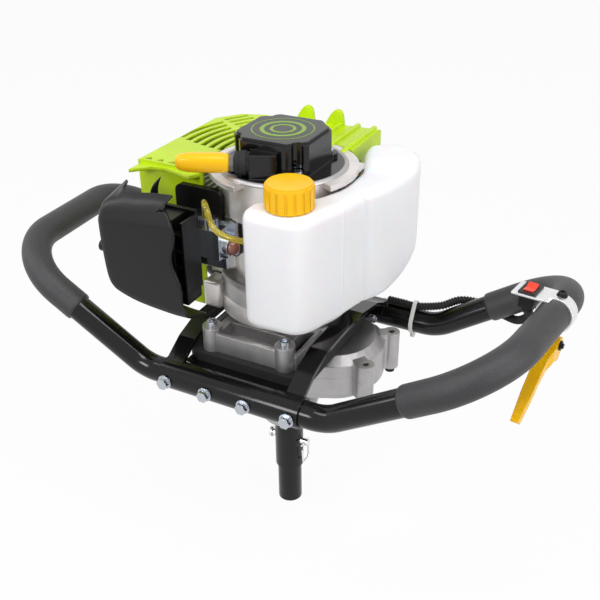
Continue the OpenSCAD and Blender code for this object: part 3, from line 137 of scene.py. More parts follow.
def add_grid(name, points, ring=True, ends=True, smooth=True):
    """A mesh from a grid of points: rows are sections, closed round if ring, with end faces if ends."""
    n, m = points.shape[:2]
    wide = m if ring else m - 1
    i, k = np.meshgrid(np.arange(n - 1), np.arange(wide), indexing="ij")
    j = (k + 1) % m
    quads = np.stack([i * m + k, i * m + j, (i + 1) * m + j, (i + 1) * m + k], axis=-1).reshape(-1, 4)
    faces = quads.tolist()
    if ends and ring:
        faces += [list(range(m - 1, -1, -1)), list(range((n - 1) * m, n * m))]
    mesh = bpy.data.meshes.new(name)
    mesh.from_pydata(points.reshape(-1, 3).tolist(), [], faces)
    mesh.polygons.foreach_set("use_smooth", np.full(len(mesh.polygons), smooth))
    mesh.update()
    obj = bpy.data.objects.new(name, mesh)
    bpy.context.scene.collection.objects.link(obj)
    return obj


def sweep_points(path, radius, sides):
    """A round section carried along a path: each ring lies square to the path, with its own radius."""
    t = unit(np.gradient(path, axis=0))
    x = unit(np.cross(t, SECTION_UP))
    y = np.cross(t, x)
    a = around(sides)
    ring = x[:, None] * np.cos(a)[None, :, None] + y[:, None] * np.sin(a)[None, :, None]
    return path[:, None] + ring * np.broadcast_to(radius, (len(path),))[:, None, None]


def revolve_points(profile, axis_at, sides):
    """A profile of (radius, height) pairs turned about a line along Z."""
    p = np.asarray(profile, dtype=float)
    a = around(sides)
    r = p[:, :1]
    z = np.broadcast_to(p[:, 1:], (len(p), sides))
    return np.stack([axis_at[0] + r * np.cos(a), axis_at[1] + r * np.sin(a), axis_at[2] + z], axis=-1)


def about_engine(profile, sides):
    """A profile turned about the engine's axis."""
    return to_frame(revolve_points(profile, (0, 0, 0), sides))


def block_points(low, high, r):
    """A block with round edges: a rounded rectangle that draws in by a quarter circle at both ends.

    The end faces keep a sliver of the corners' radius, so that their points stay apart.
    """
    turn = quarter(6)
    z = np.concatenate([low[2] + r * (1 - np.cos(turn)), high[2] - r * (1 - np.cos(turn[::-1]))])
    corner = np.concatenate([r * np.sin(turn), r * np.sin(turn[::-1])]) + 0.02 * r
    a = np.concatenate([turn + q * np.pi / 2 for q in range(4)])
    x = np.repeat([high[0] - r, low[0] + r, low[0] + r, high[0] - r], len(turn))
    y = np.repeat([high[1] - r, high[1] - r, low[1] + r, low[1] + r], len(turn))
    ring = np.stack([x + corner[:, None] * np.cos(a), y + corner[:, None] * np.sin(a)], axis=-1)
    return np.concatenate([ring, np.broadcast_to(z[:, None, None], ring.shape[:2] + (1,))], axis=-1)


def dress(obj, body, material, slot, *nodes):
    """Gives a piece its finish, lets it ride on a body and, where nodes are named, stand for them."""
    obj.data.materials.append(material)
    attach(obj, body)
    if nodes:
        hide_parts(*nodes)


def add_trim(name, points, finish, slot, **mesh):
    """A piece that is fixed to the machine and stands for no node."""
    dress(add_grid(name, points, **mesh), "machine", finish_of(finish), slot)


def add_block(name, low, high, r, finish, slot):
    """A block with round edges as trim."""
    add_trim(name, to_frame(block_points(low, high, r)), finish, slot)


# Materials


class Value:
    """A shader value: arithmetic on it adds Math nodes."""

    def __init__(self, book, socket):
        self.book = book
        self.socket = socket

    def __add__(self, other):
        return self.book.node("ShaderNodeMath", {"operation": "ADD"}, {0: self, 1: other})

    __radd__ = __add__

    def __mul__(self, other):
        return self.book.node("ShaderNodeMath", {"operation": "MULTIPLY"}, {0: self, 1: other})

    __rmul__ = __mul__


class Book:
    """The nodes of one material or world."""

    def __init__(self, owner, output_kind):
        owner.use_nodes = True
        self.owner = owner
        self.tree = owner.node_tree
        self.tree.nodes.clear()
        self.out = self.tree.nodes.new(output_kind)

    def feed(self, socket, v):
        """Links a value to a socket, or sets a plain number or colour on it."""
        if isinstance(v, Value):
            self.tree.links.new(v.socket, socket)
        else:
            socket.default_value = v

    def node(self, kind, settings=None, sockets=None, out=0):
        """Adds a node: its settings come first, then its sockets' values or links."""
        made = self.tree.nodes.new(kind)
        for key, v in (settings or {}).items():
            if key == "stops":
                ramp = made.color_ramp
                while len(ramp.elements) < len(v):
                    ramp.elements.new(0.5)
                for element, (at, colour) in zip(ramp.elements, v):
                    element.position = at
                    element.color = colour
            else:
                setattr(made, key, v)
        for key, v in (sockets or {}).items():
            self.feed(made.inputs[key], v)
        return Value(self, made.outputs[out])

    def coords(self):
        """The piece's object coordinates."""
        return self.node("ShaderNodeTexCoord", out="Object")

    def noise(self, scale, detail=3.0, rough=0.55):
        """Cloudy noise from 0 to 1 on object coordinates."""
        return self.node("ShaderNodeTexNoise", None,
                         {"Vector": self.coords(), "Scale": scale, "Detail": detail, "Roughness": rough})

    def cells(self, scale):
        """Distance to the nearest of scattered points."""
        return self.node("ShaderNodeTexVoronoi", None, {"Vector": self.coords(), "Scale": scale})

    def ramp(self, v, stops):
        """A colour ramp over a value."""
        return self.node("ShaderNodeValToRGB", {"stops": stops}, {0: v})

    def mix(self, factor, a, b):
        """Two colours mixed by a factor; the node's colour sockets are its seventh and eighth."""
        return self.node("ShaderNodeMix", {"data_type": "RGBA"}, {0: factor, 6: a, 7: b}, out=2)

    def bump(self, height, distance, strength=1.0, edge=0.0):
        """A bump from a height, over edges that look rounded by the given radius."""
        sockets = {"Height": height, "Distance": distance, "Strength": strength}
        if edge > 0:
            sockets["Normal"] = self.node("ShaderNodeBevel", {"samples": 4}, {"Radius": edge})
        return self.node("ShaderNodeBump", None, sockets)

    def seen(self):
        """1 for rays from the camera, off a shiny piece or through a clear one, and 0 for the rest."""
        kinds = ("Is Camera Ray", "Is Glossy Ray", "Is Transmission Ray")
        straight, mirrored, through = [self.node("ShaderNodeLightPath", out=kind) for kind in kinds]
        return straight + mirrored + through

    def close(self, shader):
        """Links a shader to the output."""
        self.feed(self.out.inputs[0], shader)
        return self.owner

    def finish(self, base, rough, metal=0.0, normal=None, **constants):
        """The surface shader: base, roughness and normal may vary, the rest are constants."""
        sockets = {"Base Color": base, "Roughness": rough, "Metallic": metal}
        if normal is not None:
            sockets["Normal"] = normal
        sockets.update({key.replace("_", " "): v for key, v in constants.items()})
        return self.close(self.node("ShaderNodeBsdfPrincipled", None, sockets))


def material_book(name):
    """The nodes of a new material."""
    return Book(bpy.data.materials.new(name), "ShaderNodeOutputMaterial")


def shade(colour, k):
    """A colour made lighter or darker, with full alpha."""
    return (min(colour[0] * k, 1.0), min(colour[1] * k, 1.0), min(colour[2] * k, 1.0), 1.0)


def painted_tube(name, colour):
    """Gloss paint on steel: faint orange peel, a little dust in the roughness."""
    b = material_book(name)
    cloud = b.noise(60.0)
    base = b.mix(cloud, shade(colour, 1.0), shade(colour, 1.6))
    peel = b.bump(b.noise(900.0, detail=2.0), distance=0.00005, strength=0.4, edge=0.0006)
    return b.finish(base, 0.08 + 0.08 * cloud, normal=peel, Specular_IOR_Level=0.3)


SPECK_STOPS = [(0.0, (1, 1, 1, 1)), (0.34, (0, 0, 0, 1)), (1.0, (0, 0, 0, 1))]


def foam_grip(name, colour):
    """Foam rubber: pale specks on grey, matt, with a fine open-cell bump."""
    b = material_book(name)
    grain = b.noise(2200.0, detail=2.0, rough=0.7)
    specks = b.ramp(b.cells(950.0), SPECK_STOPS)
    ground = b.mix(b.noise(35.0), shade(colour, 0.85), shade(colour, 1.2))
    base = b.mix(specks, ground, shade(colour, 3.0))
    pores = b.bump(grain, distance=0.0003, strength=0.7)
    return b.finish(base, 0.38 + 0.16 * grain, normal=pores, Specular_IOR_Level=0.45)


def cast_metal(name, colour, grain=1100.0, depth=0.00018, rough=0.3, metal=0.85):
    """Cast aluminium: sandy skin, soft mottling and edges that catch the light."""
    b = material_book(name)
    mottle = b.noise(45.0, detail=4.0)
    base = b.mix(mottle, shade(colour, 0.72), shade(colour, 1.2))
    sand = b.bump(b.noise(grain, detail=4.0, rough=0.65), distance=depth, strength=0.8, edge=0.0012)
    return b.finish(base, rough + 0.18 * mottle, metal=metal, normal=sand)


def bright_metal(name, colour, rough, edge=0.0005, depth=0.00003):
    """Plated or machined metal: cloudy roughness and fine turning marks."""
    b = material_book(name)
    cloud = b.noise(220.0)
    base = b.mix(cloud, shade(colour, 0.88), shade(colour, 1.08))
    marks = b.bump(b.noise(2400.0, detail=2.0), distance=depth, strength=0.5, edge=edge)
    return b.finish(base, rough + 0.14 * cloud, metal=1.0, normal=marks)


def moulded(name, colour, rough, grain=0.0, edge=0.0008, **constants):
    """Moulded plastic: slight colour drift, and a leathery mould grain where grain is set."""
    b = material_book(name)
    drift = b.noise(28.0, detail=2.0)
    base = b.mix(drift, shade(colour, 0.92), shade(colour, 1.08))
    leather = b.cells(1400.0) if grain > 0 else b.noise(500.0, detail=2.0)
    skin = b.bump(leather, distance=max(grain, 0.00002), strength=0.6, edge=edge)
    return b.finish(base, rough + 0.08 * drift, normal=skin, **constants)


def matt_rubber(name, colour):
    """Black rubber: dusty, broad sheen."""
    b = material_book(name)
    dust = b.noise(90.0, detail=4.0)
    base = b.mix(dust, shade(colour, 0.8), shade(colour, 1.6))
    skin = b.bump(b.noise(1500.0, detail=2.0), distance=0.0001, strength=0.5, edge=0.0008)
    return b.finish(base, 0.62 + 0.15 * dust, normal=skin, Specular_IOR_Level=0.2)


def milky_tank(name, colour):
    """Blow-moulded polyethylene: light passes a little way in, satin skin with long faint waves."""
    b = material_book(name)
    waves = b.noise(18.0, detail=2.0)
    base = b.mix(waves, shade(colour, 0.97), shade(colour, 1.0))
    height = 0.8 * waves + 0.2 * b.noise(1300.0, detail=2.0)
    skin = b.bump(height, distance=0.0004, strength=0.35)
    return b.finish(base, 0.34 + 0.08 * waves, normal=skin, Subsurface_Weight=0.35, Subsurface_Scale=0.012,
                    IOR=1.5)


def clear_hose(name, colour):
    """Clear tinted tube."""
    b = material_book(name)
    drift = b.noise(120.0)
    base = b.mix(drift, shade(colour, 0.85), shade(colour, 1.0))
    return b.finish(base, 0.06 + 0.06 * drift, Transmission_Weight=0.75, IOR=1.4)


class AugerSizes(bpy.types.PropertyGroup):
    """Sizes of the moulded and soft pieces."""

    grip_radius: FloatProperty(
        name="Grip radius", description="Outer radius of the foam grips", default=0.0145, unit="LENGTH")
    grip_lip: FloatProperty(
        name="Grip lip", description="Rounding at the ends of the grips", default=0.003, unit="LENGTH")
    rib_pitch: FloatProperty(
        name="Rib pitch", description="Spacing of the conduit's ribs", default=0.003, unit="LENGTH")
    hose_radius: FloatProperty(
        name="Hose radius", description="Outer radius of the fuel hose", default=0.0026, unit="LENGTH")
    rope_radius: FloatProperty(
        name="Rope radius", description="Radius of the starter rope", default=0.0018, unit="LENGTH")
    tank_round: FloatProperty(
        name="Tank rounding", description="Radius of the tank's long edges", default=0.0095, unit="LENGTH")
    cover_rim: FloatProperty(
        name="Cover rim", description="Rounding round the filter cover's face", default=0.006, unit="LENGTH")
    cover_wall: FloatProperty(
        name="Cover wall", description="Wall of the filter cover", default=0.0022, unit="LENGTH")


class AugerColours(bpy.types.PropertyGroup):
    """Colours of the finishes."""

    hood: FloatVectorProperty(
        name="Hood", description="Engine hood", subtype="COLOR", default=(0.52, 0.73, 0.008))
    amber: FloatVectorProperty(
        name="Amber", description="Cap, starter grip and lever", subtype="COLOR", default=(0.96, 0.52, 0.004))
    tank: FloatVectorProperty(
        name="Tank", description="Fuel tank", subtype="COLOR", default=(0.86, 0.86, 0.888))
    paint: FloatVectorProperty(
        name="Paint", description="Tubes and frame", subtype="COLOR", default=(0.004, 0.0037, 0.004))
    grip: FloatVectorProperty(
        name="Grip", description="Foam grips", subtype="COLOR", default=(0.026, 0.0255, 0.028))
    plastic: FloatVectorProperty(
        name="Plastic", description="Satin black plastic", subtype="COLOR", default=(0.0045, 0.0042, 0.0044))
    alloy: FloatVectorProperty(
        name="Alloy", description="Gearbox castings", subtype="COLOR", default=(0.43, 0.42, 0.42))
    # Painted light: the engine castings keep their own warm alloy tone, but are made far lighter than the
    # gearbox alloy to stand in for the light that their shaded place under the tank and hood lacks.
    case: FloatVectorProperty(
        name="Crankcase", description="Engine castings", subtype="COLOR", default=(0.78, 0.745, 0.725))


def sizes():
    """The size settings."""
    return bpy.context.scene.auger_sizes


def colours():
    """The colour settings."""
    return bpy.context.scene.auger_colours


# Each finish: how it is made, its material's name, a colour or the colour setting's name, and its own values
FINISH_TABLE = {
    "paint": (painted_tube, "gloss_black_paint", "paint", {}),
    "foam": (foam_grip, "speckled_foam", "grip", {}),
    "foam_filter": (foam_grip, "filter_foam", (0.05, 0.05, 0.045), {}),
    "rubber": (matt_rubber, "black_rubber", (0.018, 0.018, 0.018), {}),
    "rope": (matt_rubber, "rope_braid", (0.03, 0.03, 0.03), {}),
    "tank": (milky_tank, "milky_tank", "tank", {}),
    "hose": (clear_hose, "yellow_hose", (0.8, 0.66, 0.05), {}),
    "zinc": (bright_metal, "zinc_plate", (0.5, 0.53, 0.58), {"rough": 0.16}),
    "chrome": (bright_metal, "bright_plate", (0.8, 0.81, 0.83), {"rough": 0.1}),
    "oxide": (bright_metal, "black_oxide", (0.03, 0.03, 0.032), {"rough": 0.4}),
    "steel": (bright_metal, "machined_steel", (0.5, 0.5, 0.52), {"rough": 0.28}),
    "sheet": (bright_metal, "bright_sheet", (0.8, 0.8, 0.805),
              {"rough": 0.3, "edge": 0.0008, "depth": 0.000004}),
    "alloy": (cast_metal, "cast_alloy", "alloy", {}),
    # A lighter copy of the cast alloy for the engine castings: its extra lightness is painted light for their
    # shaded place.
    "case": (cast_metal, "case_alloy", "case",
             {"grain": 900.0, "depth": 0.00022, "rough": 0.26, "metal": 0.75}),
    "iron": (cast_metal, "sintered_iron", (0.2, 0.19, 0.18),
             {"grain": 1500.0, "depth": 0.0001, "rough": 0.55}),
    "exhaust": (cast_metal, "dark_exhaust", (0.1, 0.095, 0.09),
                {"grain": 1500.0, "depth": 0.0001, "rough": 0.5}),
    "hood": (moulded, "lime_hood", "hood", {"rough": 0.24, "edge": 0.0022, "Specular_IOR_Level": 0.24}),
    "plastic": (moulded, "satin_black", "plastic",
                {"rough": 0.3, "grain": 0.00006, "edge": 0.001, "Specular_IOR_Level": 0.3}),
    "gloss": (moulded, "gloss_black", (0.004, 0.004, 0.0045),
              {"rough": 0.1, "edge": 0.0012, "Specular_IOR_Level": 0.4}),
    "amber": (moulded, "amber_plastic", "amber",
              {"rough": 0.22, "edge": 0.0009, "Subsurface_Weight": 0.12, "Subsurface_Scale": 0.004,
               "Specular_IOR_Level": 0.3}),
    "red": (moulded, "red_rocker", (0.85, 0.05, 0.02), {"rough": 0.25}),
    "nylon": (moulded, "natural_nylon", (0.8, 0.8, 0.77), {"rough": 0.4}),
    "ceramic": (moulded, "glazed_ceramic", (0.82, 0.82, 0.8), {"rough": 0.15}),
    "grey": (moulded, "grey_neck", (0.13, 0.13, 0.125), {"rough": 0.45}),
    "bulb": (moulded, "bulb_rubber", (0.42, 0.16, 0.12), {"rough": 0.12, "Transmission_Weight": 0.5}),
    "green_print": (moulded, "green_print", (0.2, 0.36, 0.02), {"rough": 0.35}),
}
FINISHES = {}


def finish_of(key):
    """A finish by its name, made on first use."""
    if key not in FINISHES:
        maker, name, colour, values = FINISH_TABLE[key]
        if isinstance(colour, str):
            colour = getattr(colours(), colour)
        FINISHES[key] = maker(name, colour, **values)
    return FINISHES[key]


NODE_FINISH = {
    "paint": ["frame", "left_handle", "right_handle", "auger_rod"],
    "zinc": ["handle_bolts", "housing_bolts", "starter_screws", "carburetor"],
    "chrome": ["hitch_pin", "pin_clip"],
    "oxide": ["gearbox_bolts", "throttle_pin"],
    "rubber": ["damper_pad", "tank_strip", "output_seal", "plug_boot", "rope_bush"],
    "alloy": ["clutch_housing", "gearbox_cover", "gearbox_housing"],
    # The engine castings take the case finish, whose extra lightness is painted light for their shaded place.
    "case": ["crankcase", "engine_cylinder", "fan_housing"],
    "steel": ["clutch_drum", "layshaft", "output_gear", "output_shaft", "input_bearing", "output_bearings",
              "crankshaft", "flywheel"],
    "iron": ["clutch_shoes"],
    "exhaust": ["muffler"],
    "hood": ["engine_hood"],
    "plastic": ["air_filter_base", "intake_insulator", "ignition_coil", "filter_knob", "switch_body"],
    "gloss": ["starter_cover"],
    "sheet": ["switch_bracket"],
    "foam_filter": ["filter_element"],
    "bulb": ["primer_bulb"],
    "amber": ["fuel_cap", "throttle_lever"],
    "nylon": ["cable_tie", "starter_reel"],
    "ceramic": ["spark_plug"],
    "red": ["switch_rocker"],
}


class AUGER_OT_finishes(bpy.types.Operator):
    """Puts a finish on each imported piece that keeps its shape"""

    bl_idname = "auger.finishes"
    bl_label = "Finishes"

    def execute(self, context):
        for key, names in NODE_FINISH.items():
            for name in names:
                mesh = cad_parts[name].data
                mesh.materials.clear()
                mesh.materials.append(finish_of(key))
        return {"FINISHED"}


# Corners of the right handle's tube, from the front bar round the hand loop to the rear bar
HAND_PATH = np.array([[1.0, -108, 0], [96, -108, 0], [241, -115, 94], [269, 108, 84], [130, 86, 0],
                      [1, 86, 0]])
LOOP_BEND = 62
TUBE_RADIUS = 12.5
# The grips' bore, and their reach from the loop's corners down the front and rear legs
GRIP_BORE = 12.6
GRIP_FRONT = 86
GRIP_REAR = 104


def grip_points(side):
    """A grip: a ring carried round the loop's two corners, drawn in by a quarter circle at both ends."""
    bar_end, front_corner, rear_corner, bar_start = HAND_PATH[1:5]
    front = front_corner - GRIP_FRONT * unit(front_corner - bar_end)
    rear = rear_corner + GRIP_REAR * unit(bar_start - rear_corner)
    path = resample(bent_path([front, front_corner, rear_corner, rear], LOOP_BEND), 420)
    s = run_along(path)
    lip = sizes().grip_lip / MM
    full = sizes().grip_radius / MM
    near = np.clip(np.minimum(s, s[-1] - s) / lip, 0.0, 1.0)
    radius = GRIP_BORE + (full - GRIP_BORE) * np.sqrt(1.0 - (1.0 - near) ** 2)
    points = sweep_points(path, radius, 48)
    points[..., 0] *= side
    # The mirrored ring runs the other way round, so its order is turned to keep the faces outwards
    if side < 0:
        points = points[:, ::-1]
    return to_frame(points)


class AUGER_OT_grips(bpy.types.Operator):
    """Foam grips on the handle loops"""

    bl_idname = "auger.grips"
    bl_label = "Grips"

    def execute(self, context):
        for side, name in ((1, "right_grip"), (-1, "left_grip")):
            grip = add_grid("foam_" + name, grip_points(side))
            dress(grip, "machine", finish_of("foam"), "grip_foam", name)
        return {"FINISHED"}


TANK_FLOOR = 67
TANK_TOP = 179
# Sections along the tank: inner x and y, outer x and y, rise of the floor and of the top, draw-in at the ends
TANK_STATIONS = [
    [8, -68, 8, -94, 0, 0, 9], [10, -67, 10, -95, 0, 0, 3], [17, -65, 18, -96.5, 0, 0, 0],
    [28, -60, 44, -97, 0, 0, 0], [36, -55, 58, -95.5, 0, 0, 0], [42, -50, 66, -89.5, 0, 0, 0],
    [47, -45, 71.5, -79, 0, 0, 0], [53, -36, 78, -59, 0, 0, 0], [58, -24, 84, -37, 0, 0, 0],
    [61, -14, 88, -20, 0, 0, 0], [62, -4, 93, -7, 0, 0, 0], [62, 10, 101, 14, 0, 0, 0],
    [62, 28, 107, 42, 8, 0, 0], [58, 48, 108, 66, 20, 5, 0], [51, 68, 100, 86, 28, 6, 0],
    [49, 79, 84, 98, 31, 6, 0], [48.5, 84, 76, 102, 32, 6, 3], [48, 87, 70, 104, 33, 6, 9],
]
# Height, middle along y and half width of the mould seam's bead and of the groove at the waist
TANK_SEAM = (0.7, -46, 1.3)
TANK_WAIST = (-2.0, -13, 2.6)
NECK_AT = (43, -70, TANK_TOP)
NECK_WALL = [(13, -5), (15, -5), (16, -3), (16, 16), (15.5, 17), (13, 17), (13, -5)]


def swell(y, height, middle, width):
    """A bell curve along y."""
    return height * np.exp(-((y - middle) / width) ** 2)


def tank_points():
    """The tank: sections from an inner to an outer edge, each a rectangle with round corners.

    A section's corner arcs take equal shares of the ring, and the first and last sections draw in. The outer
    edge swells at the mould's seam and dips at the waist.
    """
    path = spline(TANK_STATIONS, 24)
    d = path[:, 6]
    inner, outer = path[:, 0:2], path[:, 2:4]
    u = unit(outer - inner)
    a = inner + u * d[:, None]
    relief = swell(outer[:, 1], *TANK_SEAM) + swell(outer[:, 1], *TANK_WAIST)
    w = np.linalg.norm(outer - inner, axis=1) - 2 * d + relief
    z0, z1 = TANK_FLOOR + path[:, 4] + d, TANK_TOP + path[:, 5] - d
    r = np.maximum(sizes().tank_round / MM - 0.7 * d, 2.0)
    turn = quarter(10)
    quarters = ((1, 1, 0.0), (0, 1, 0.5), (0, 0, 1.0), (1, 0, 1.5))
    x = [(far * (w - r) + (1 - far) * r)[:, None] + r[:, None] * np.cos(turn + q * np.pi)
         for far, high, q in quarters]
    z = [(high * (z1 - r) + (1 - high) * (z0 + r))[:, None] + r[:, None] * np.sin(turn + q * np.pi)
         for far, high, q in quarters]
    x, z = np.concatenate(x, axis=1), np.concatenate(z, axis=1)
    xy = a[:, None] + u[:, None] * x[..., None]
    return to_frame(np.concatenate([xy, z[..., None]], axis=-1))


class AUGER_OT_tank(bpy.types.Operator):
    """Blow-moulded fuel tank and its neck"""

    bl_idname = "auger.tank"
    bl_label = "Fuel tank"

    def execute(self, context):
        tank = add_grid("moulded_tank", tank_points()[:, ::-1])
        dress(tank, "machine", finish_of("tank"), "tank_white", "fuel_tank")
        neck = to_frame(revolve_points(NECK_WALL, NECK_AT, 64))
        add_trim("tank_neck", neck, "tank", "tank_white", ends=False)
        return {"FINISHED"}


# Filter cover from its lower right end round the left side: x and z of the face's rim, then the back edge
COVER_RIM = [
    [-35, 77, -31, -95, 70], [-54, 76.5, -52, -95, 71], [-87, 79.5, -86, -93, 75], [-108, 85, -108, -91, 81],
    [-116, 90, -116, -89, 88], [-120, 99, -119.5, -87, 99], [-122, 118, -121.5, -86, 118],
    [-123, 142, -122.5, -85, 142], [-122.5, 158, -122, -83, 161], [-120, 166.5, -119.5, -81, 173],
    [-115, 170, -115.5, -81, 178], [-110, 171, -110, -90, 178.5], [-103, 171.5, -103.5, -102, 178],
    [-86, 173.6, -86, -103, 179.5], [-68, 176.5, -68, -103, 182], [-54, 178.6, -51, -103, 183],
]
# The face's free edge on the right, in x and z
COVER_EDGE = [[-36, 84], [-38.5, 89], [-38.6, 104], [-40.5, 112], [-45.5, 124], [-46, 134], [-41.8, 150],
              [-41.8, 160], [-45, 167], [-50, 172.5], [-53, 174]]
COVER_FACE_Y = -119
COVER_LEAN = 7
# Two slanting lines over the face: height, at which x, and slope
COVER_CREASE = (155, -112, 0.108)
COVER_TOP = (171, -122, 0.114)
# Blocks are given by their low corner, high corner and edge radius
BASE_SKIRT = ([-62, -101, 76], [-46, -78, 90], 1.2)
# Low and high corner of a rib of the base, counted from its height, and the radius of its edges
BASE_RIB = np.array([[-62, -101, 0], [-47, -93, 2.4]])
BASE_RIB_ROUND = 0.8
BASE_RIB_HEIGHTS = (96, 112, 128, 144)


def slant(x, height, at, slope):
    """The height of a straight line at x."""
    return height + (x - at) * slope


def cover_face_y(x, z):
    """The cover's face: flat, and above a slanting crease it leans back."""
    crease = slant(x, *COVER_CREASE)
    top = slant(x, *COVER_TOP)
    return COVER_FACE_Y + COVER_LEAN * np.clip((z - crease) / (top - crease), 0.0, 1.2) ** 1.1


def cover_points():
    """The filter cover, a shell that is open to the right: walls, a rounded rim and the face.

    Rows run from the walls' back edge to the rim, round it, and over the face to its free edge. The rim is a
    quadratic curve from the wall's end to the face's start, drawn towards the corner.
    """
    path = resample(spline(COVER_RIM, 16), 220)
    x, z = path[:, 0], path[:, 1]
    corner = np.stack([x, cover_face_y(x, z), z], axis=1)
    back = path[:, 2:5]
    along = unit(np.gradient(path[:, :2], axis=0))
    inward = np.stack([along[:, 1], -along[:, 0]], axis=1)
    rim = sizes().cover_rim / MM
    xz = path[:, :2] + rim * inward
    start = np.stack([xz[:, 0], cover_face_y(xz[:, 0], xz[:, 1]), xz[:, 1]], axis=1)
    end = corner + rim * unit(back - corner)
    v = np.linspace(0.0, 1.0, 8)[:, None, None]
    walls = back + v * (end - back)
    rounded = (1 - v) ** 2 * end + 2 * v * (1 - v) * corner + v**2 * start
    edge = resample(spline(COVER_EDGE, 16), 220)
    t = np.linspace(0.0, 1.0, 40)[:, None, None]
    flat = xz + t * (edge - xz)
    face = np.stack([flat[..., 0], cover_face_y(flat[..., 0], flat[..., 1]), flat[..., 1]], axis=-1)
    return to_frame(np.concatenate([walls[:-1], rounded[:-1], face]))


class AUGER_OT_filter(bpy.types.Operator):
    """Air filter cover, and the skirt and ribs of the base behind it"""

    bl_idname = "auger.filter"
    bl_label = "Filter cover"

    def execute(self, context):
        cover = add_grid("moulded_filter_cover", cover_points(), ring=False)
        wall = cover.modifiers.new("wall", "SOLIDIFY")
        wall.thickness = sizes().cover_wall
        wall.offset = -1.0
        dress(cover, "machine", finish_of("plastic"), "black_plastic", "air_filter_cover")
        add_block("base_skirt", *BASE_SKIRT, "plastic", "black_plastic")
        for i, z in enumerate(BASE_RIB_HEIGHTS):
            low, high = BASE_RIB + [0, 0, z]
            add_block("base_rib_%d" % i, low, high, BASE_RIB_ROUND, "plastic", "black_plastic")
        return {"FINISHED"}


# The crankcase's wide lower drum: radius, foot, top and the radius of its round shoulder
DRUM_RADIUS = 62.5
DRUM_FOOT = 60
DRUM_TOP = 84
DRUM_SHOULDER = 5
# The drum's bore, inside the crankcase's wall
DRUM_BORE = 49
CASE_LUG = ([-64, -51, 46], [-45, -30, 74], 3.0)
# The bead round the fan housing's top: middle radius, half width, foot and rise
BEAD_RADIUS = 57.2
BEAD_HALF = 2.8
BEAD_FOOT = 185.5
BEAD_RISE = 3.4


def drum_profile():
    """The drum's section: up the wall, over a quarter circle, in to the bore and back down inside."""
    turn = quarter(8)
    wide, high = DRUM_RADIUS - DRUM_SHOULDER, DRUM_TOP - DRUM_SHOULDER
    shoulder = np.stack([wide + DRUM_SHOULDER * np.cos(turn), high + DRUM_SHOULDER * np.sin(turn)], axis=1)
    inside = [[DRUM_BORE + 0.3, DRUM_TOP], [DRUM_BORE, DRUM_TOP - 0.3], [DRUM_BORE, DRUM_FOOT]]
    foot = [[DRUM_RADIUS, DRUM_FOOT]]
    return np.concatenate([foot, shoulder, inside, foot])


def bead_profile():
    """The bead's section: half an ellipse from its outer to its inner foot, on a low step that closes it."""
    a = np.linspace(0.0, np.pi, 9)
    over = np.stack([BEAD_RADIUS + BEAD_HALF * np.cos(a), BEAD_FOOT + BEAD_RISE * np.sin(a)], axis=1)
    outer, inner, low = BEAD_RADIUS + BEAD_HALF, BEAD_RADIUS - BEAD_HALF, BEAD_FOOT - 0.3
    return np.concatenate([[[inner, BEAD_FOOT], [inner, low], [outer, low]], over])


class AUGER_OT_castings(bpy.types.Operator):
    """Lower drum and lug of the crankcase, and the bead round the fan housing"""

    bl_idname = "auger.castings"
    bl_label = "Castings"

    def execute(self, context):
        add_trim("case_drum", about_engine(drum_profile(), 128), "alloy", "cast_alloy", ends=False)
        add_block("case_lug", *CASE_LUG, "case", "case_alloy")
        add_trim("fan_bead", about_engine(bead_profile(), 160), "alloy", "cast_alloy", ends=False)
        return {"FINISHED"}


# Hood walls that carry ribs: ends of the wall in plan, with the outside to the right of the way along it
HOOD_WALLS = np.array([[[28.0, 146], [-92, 138]], [[-148, 94], [-148, -10]]])
RIB_HEIGHTS = np.arange(82, 140, 12)
# How far the ribs stop short of the wall's ends, sink into it and stand out of it, their height and rounding
RIB_END = 14
RIB_SINK = 1.0
RIB_STAND = 1.5
RIB_TALL = 4.5
RIB_ROUND = 1.2
# Outline of a fin, in x and z from its foot, over the top from left to right
FIN_EDGE = [[-12, 2], [-9.5, 9], [-6.3, 15.5], [-2.6, 21], [1.5, 24.4], [5.8, 24.2], [8.8, 20.8], [10.2, 14],
            [10.8, 8], [11, 2]]
FIN_FEET = [[-41, 176], [-7, 176]]
# Where the rounding of the fin's front and back faces starts, its depth, and how far it draws the outline in
FIN_FRONT = 122.2
FIN_BACK = 125.8
FIN_ROUND = 1.2
FIN_DRAW = 0.1
RIDGES = (([-3, 62, 182], [2, 130, 188], 1.8), ([15, 52, 182], [20, 130, 188], 1.8),
          ([33, 48, 182], [38, 130, 188], 1.8))
HOOD_TONGUE = ([-82, -46, 44], [-66, -43.5, 70], 1.2)


def rib_points(first, second, z):
    """A rib on a wall: a block laid along the line from the wall's second end to its first."""
    along, length = unit(first - second), np.linalg.norm(first - second)
    out = np.array([-along[1], along[0]])
    low, high = [RIB_END, -RIB_SINK, z], [length - RIB_END, RIB_STAND, z + RIB_TALL]
    bar = block_points(low, high, RIB_ROUND)
    xy = second + bar[..., :1] * along + bar[..., 1:2] * out
    return to_frame(np.concatenate([xy, bar[..., 2:]], axis=-1))


def fin_points(foot):
    """A fin: its outline carried along y, and drawn in about its middle by a quarter circle at both faces."""
    edge = resample(spline(FIN_EDGE, 16), 72)
    turn = quarter(6)
    draw = 1 - FIN_DRAW + FIN_DRAW * np.concatenate([np.sin(turn), np.sin(turn[::-1])])
    y = np.concatenate([FIN_FRONT - FIN_ROUND * np.cos(turn), FIN_BACK + FIN_ROUND * np.cos(turn[::-1])])
    middle = edge.mean(axis=0)
    xz = middle + draw[:, None, None] * (edge - middle)
    y = np.broadcast_to(y[:, None], xz.shape[:2])
    return to_frame(np.stack([foot[0] + xz[..., 0], y, foot[1] + xz[..., 1]], axis=-1))


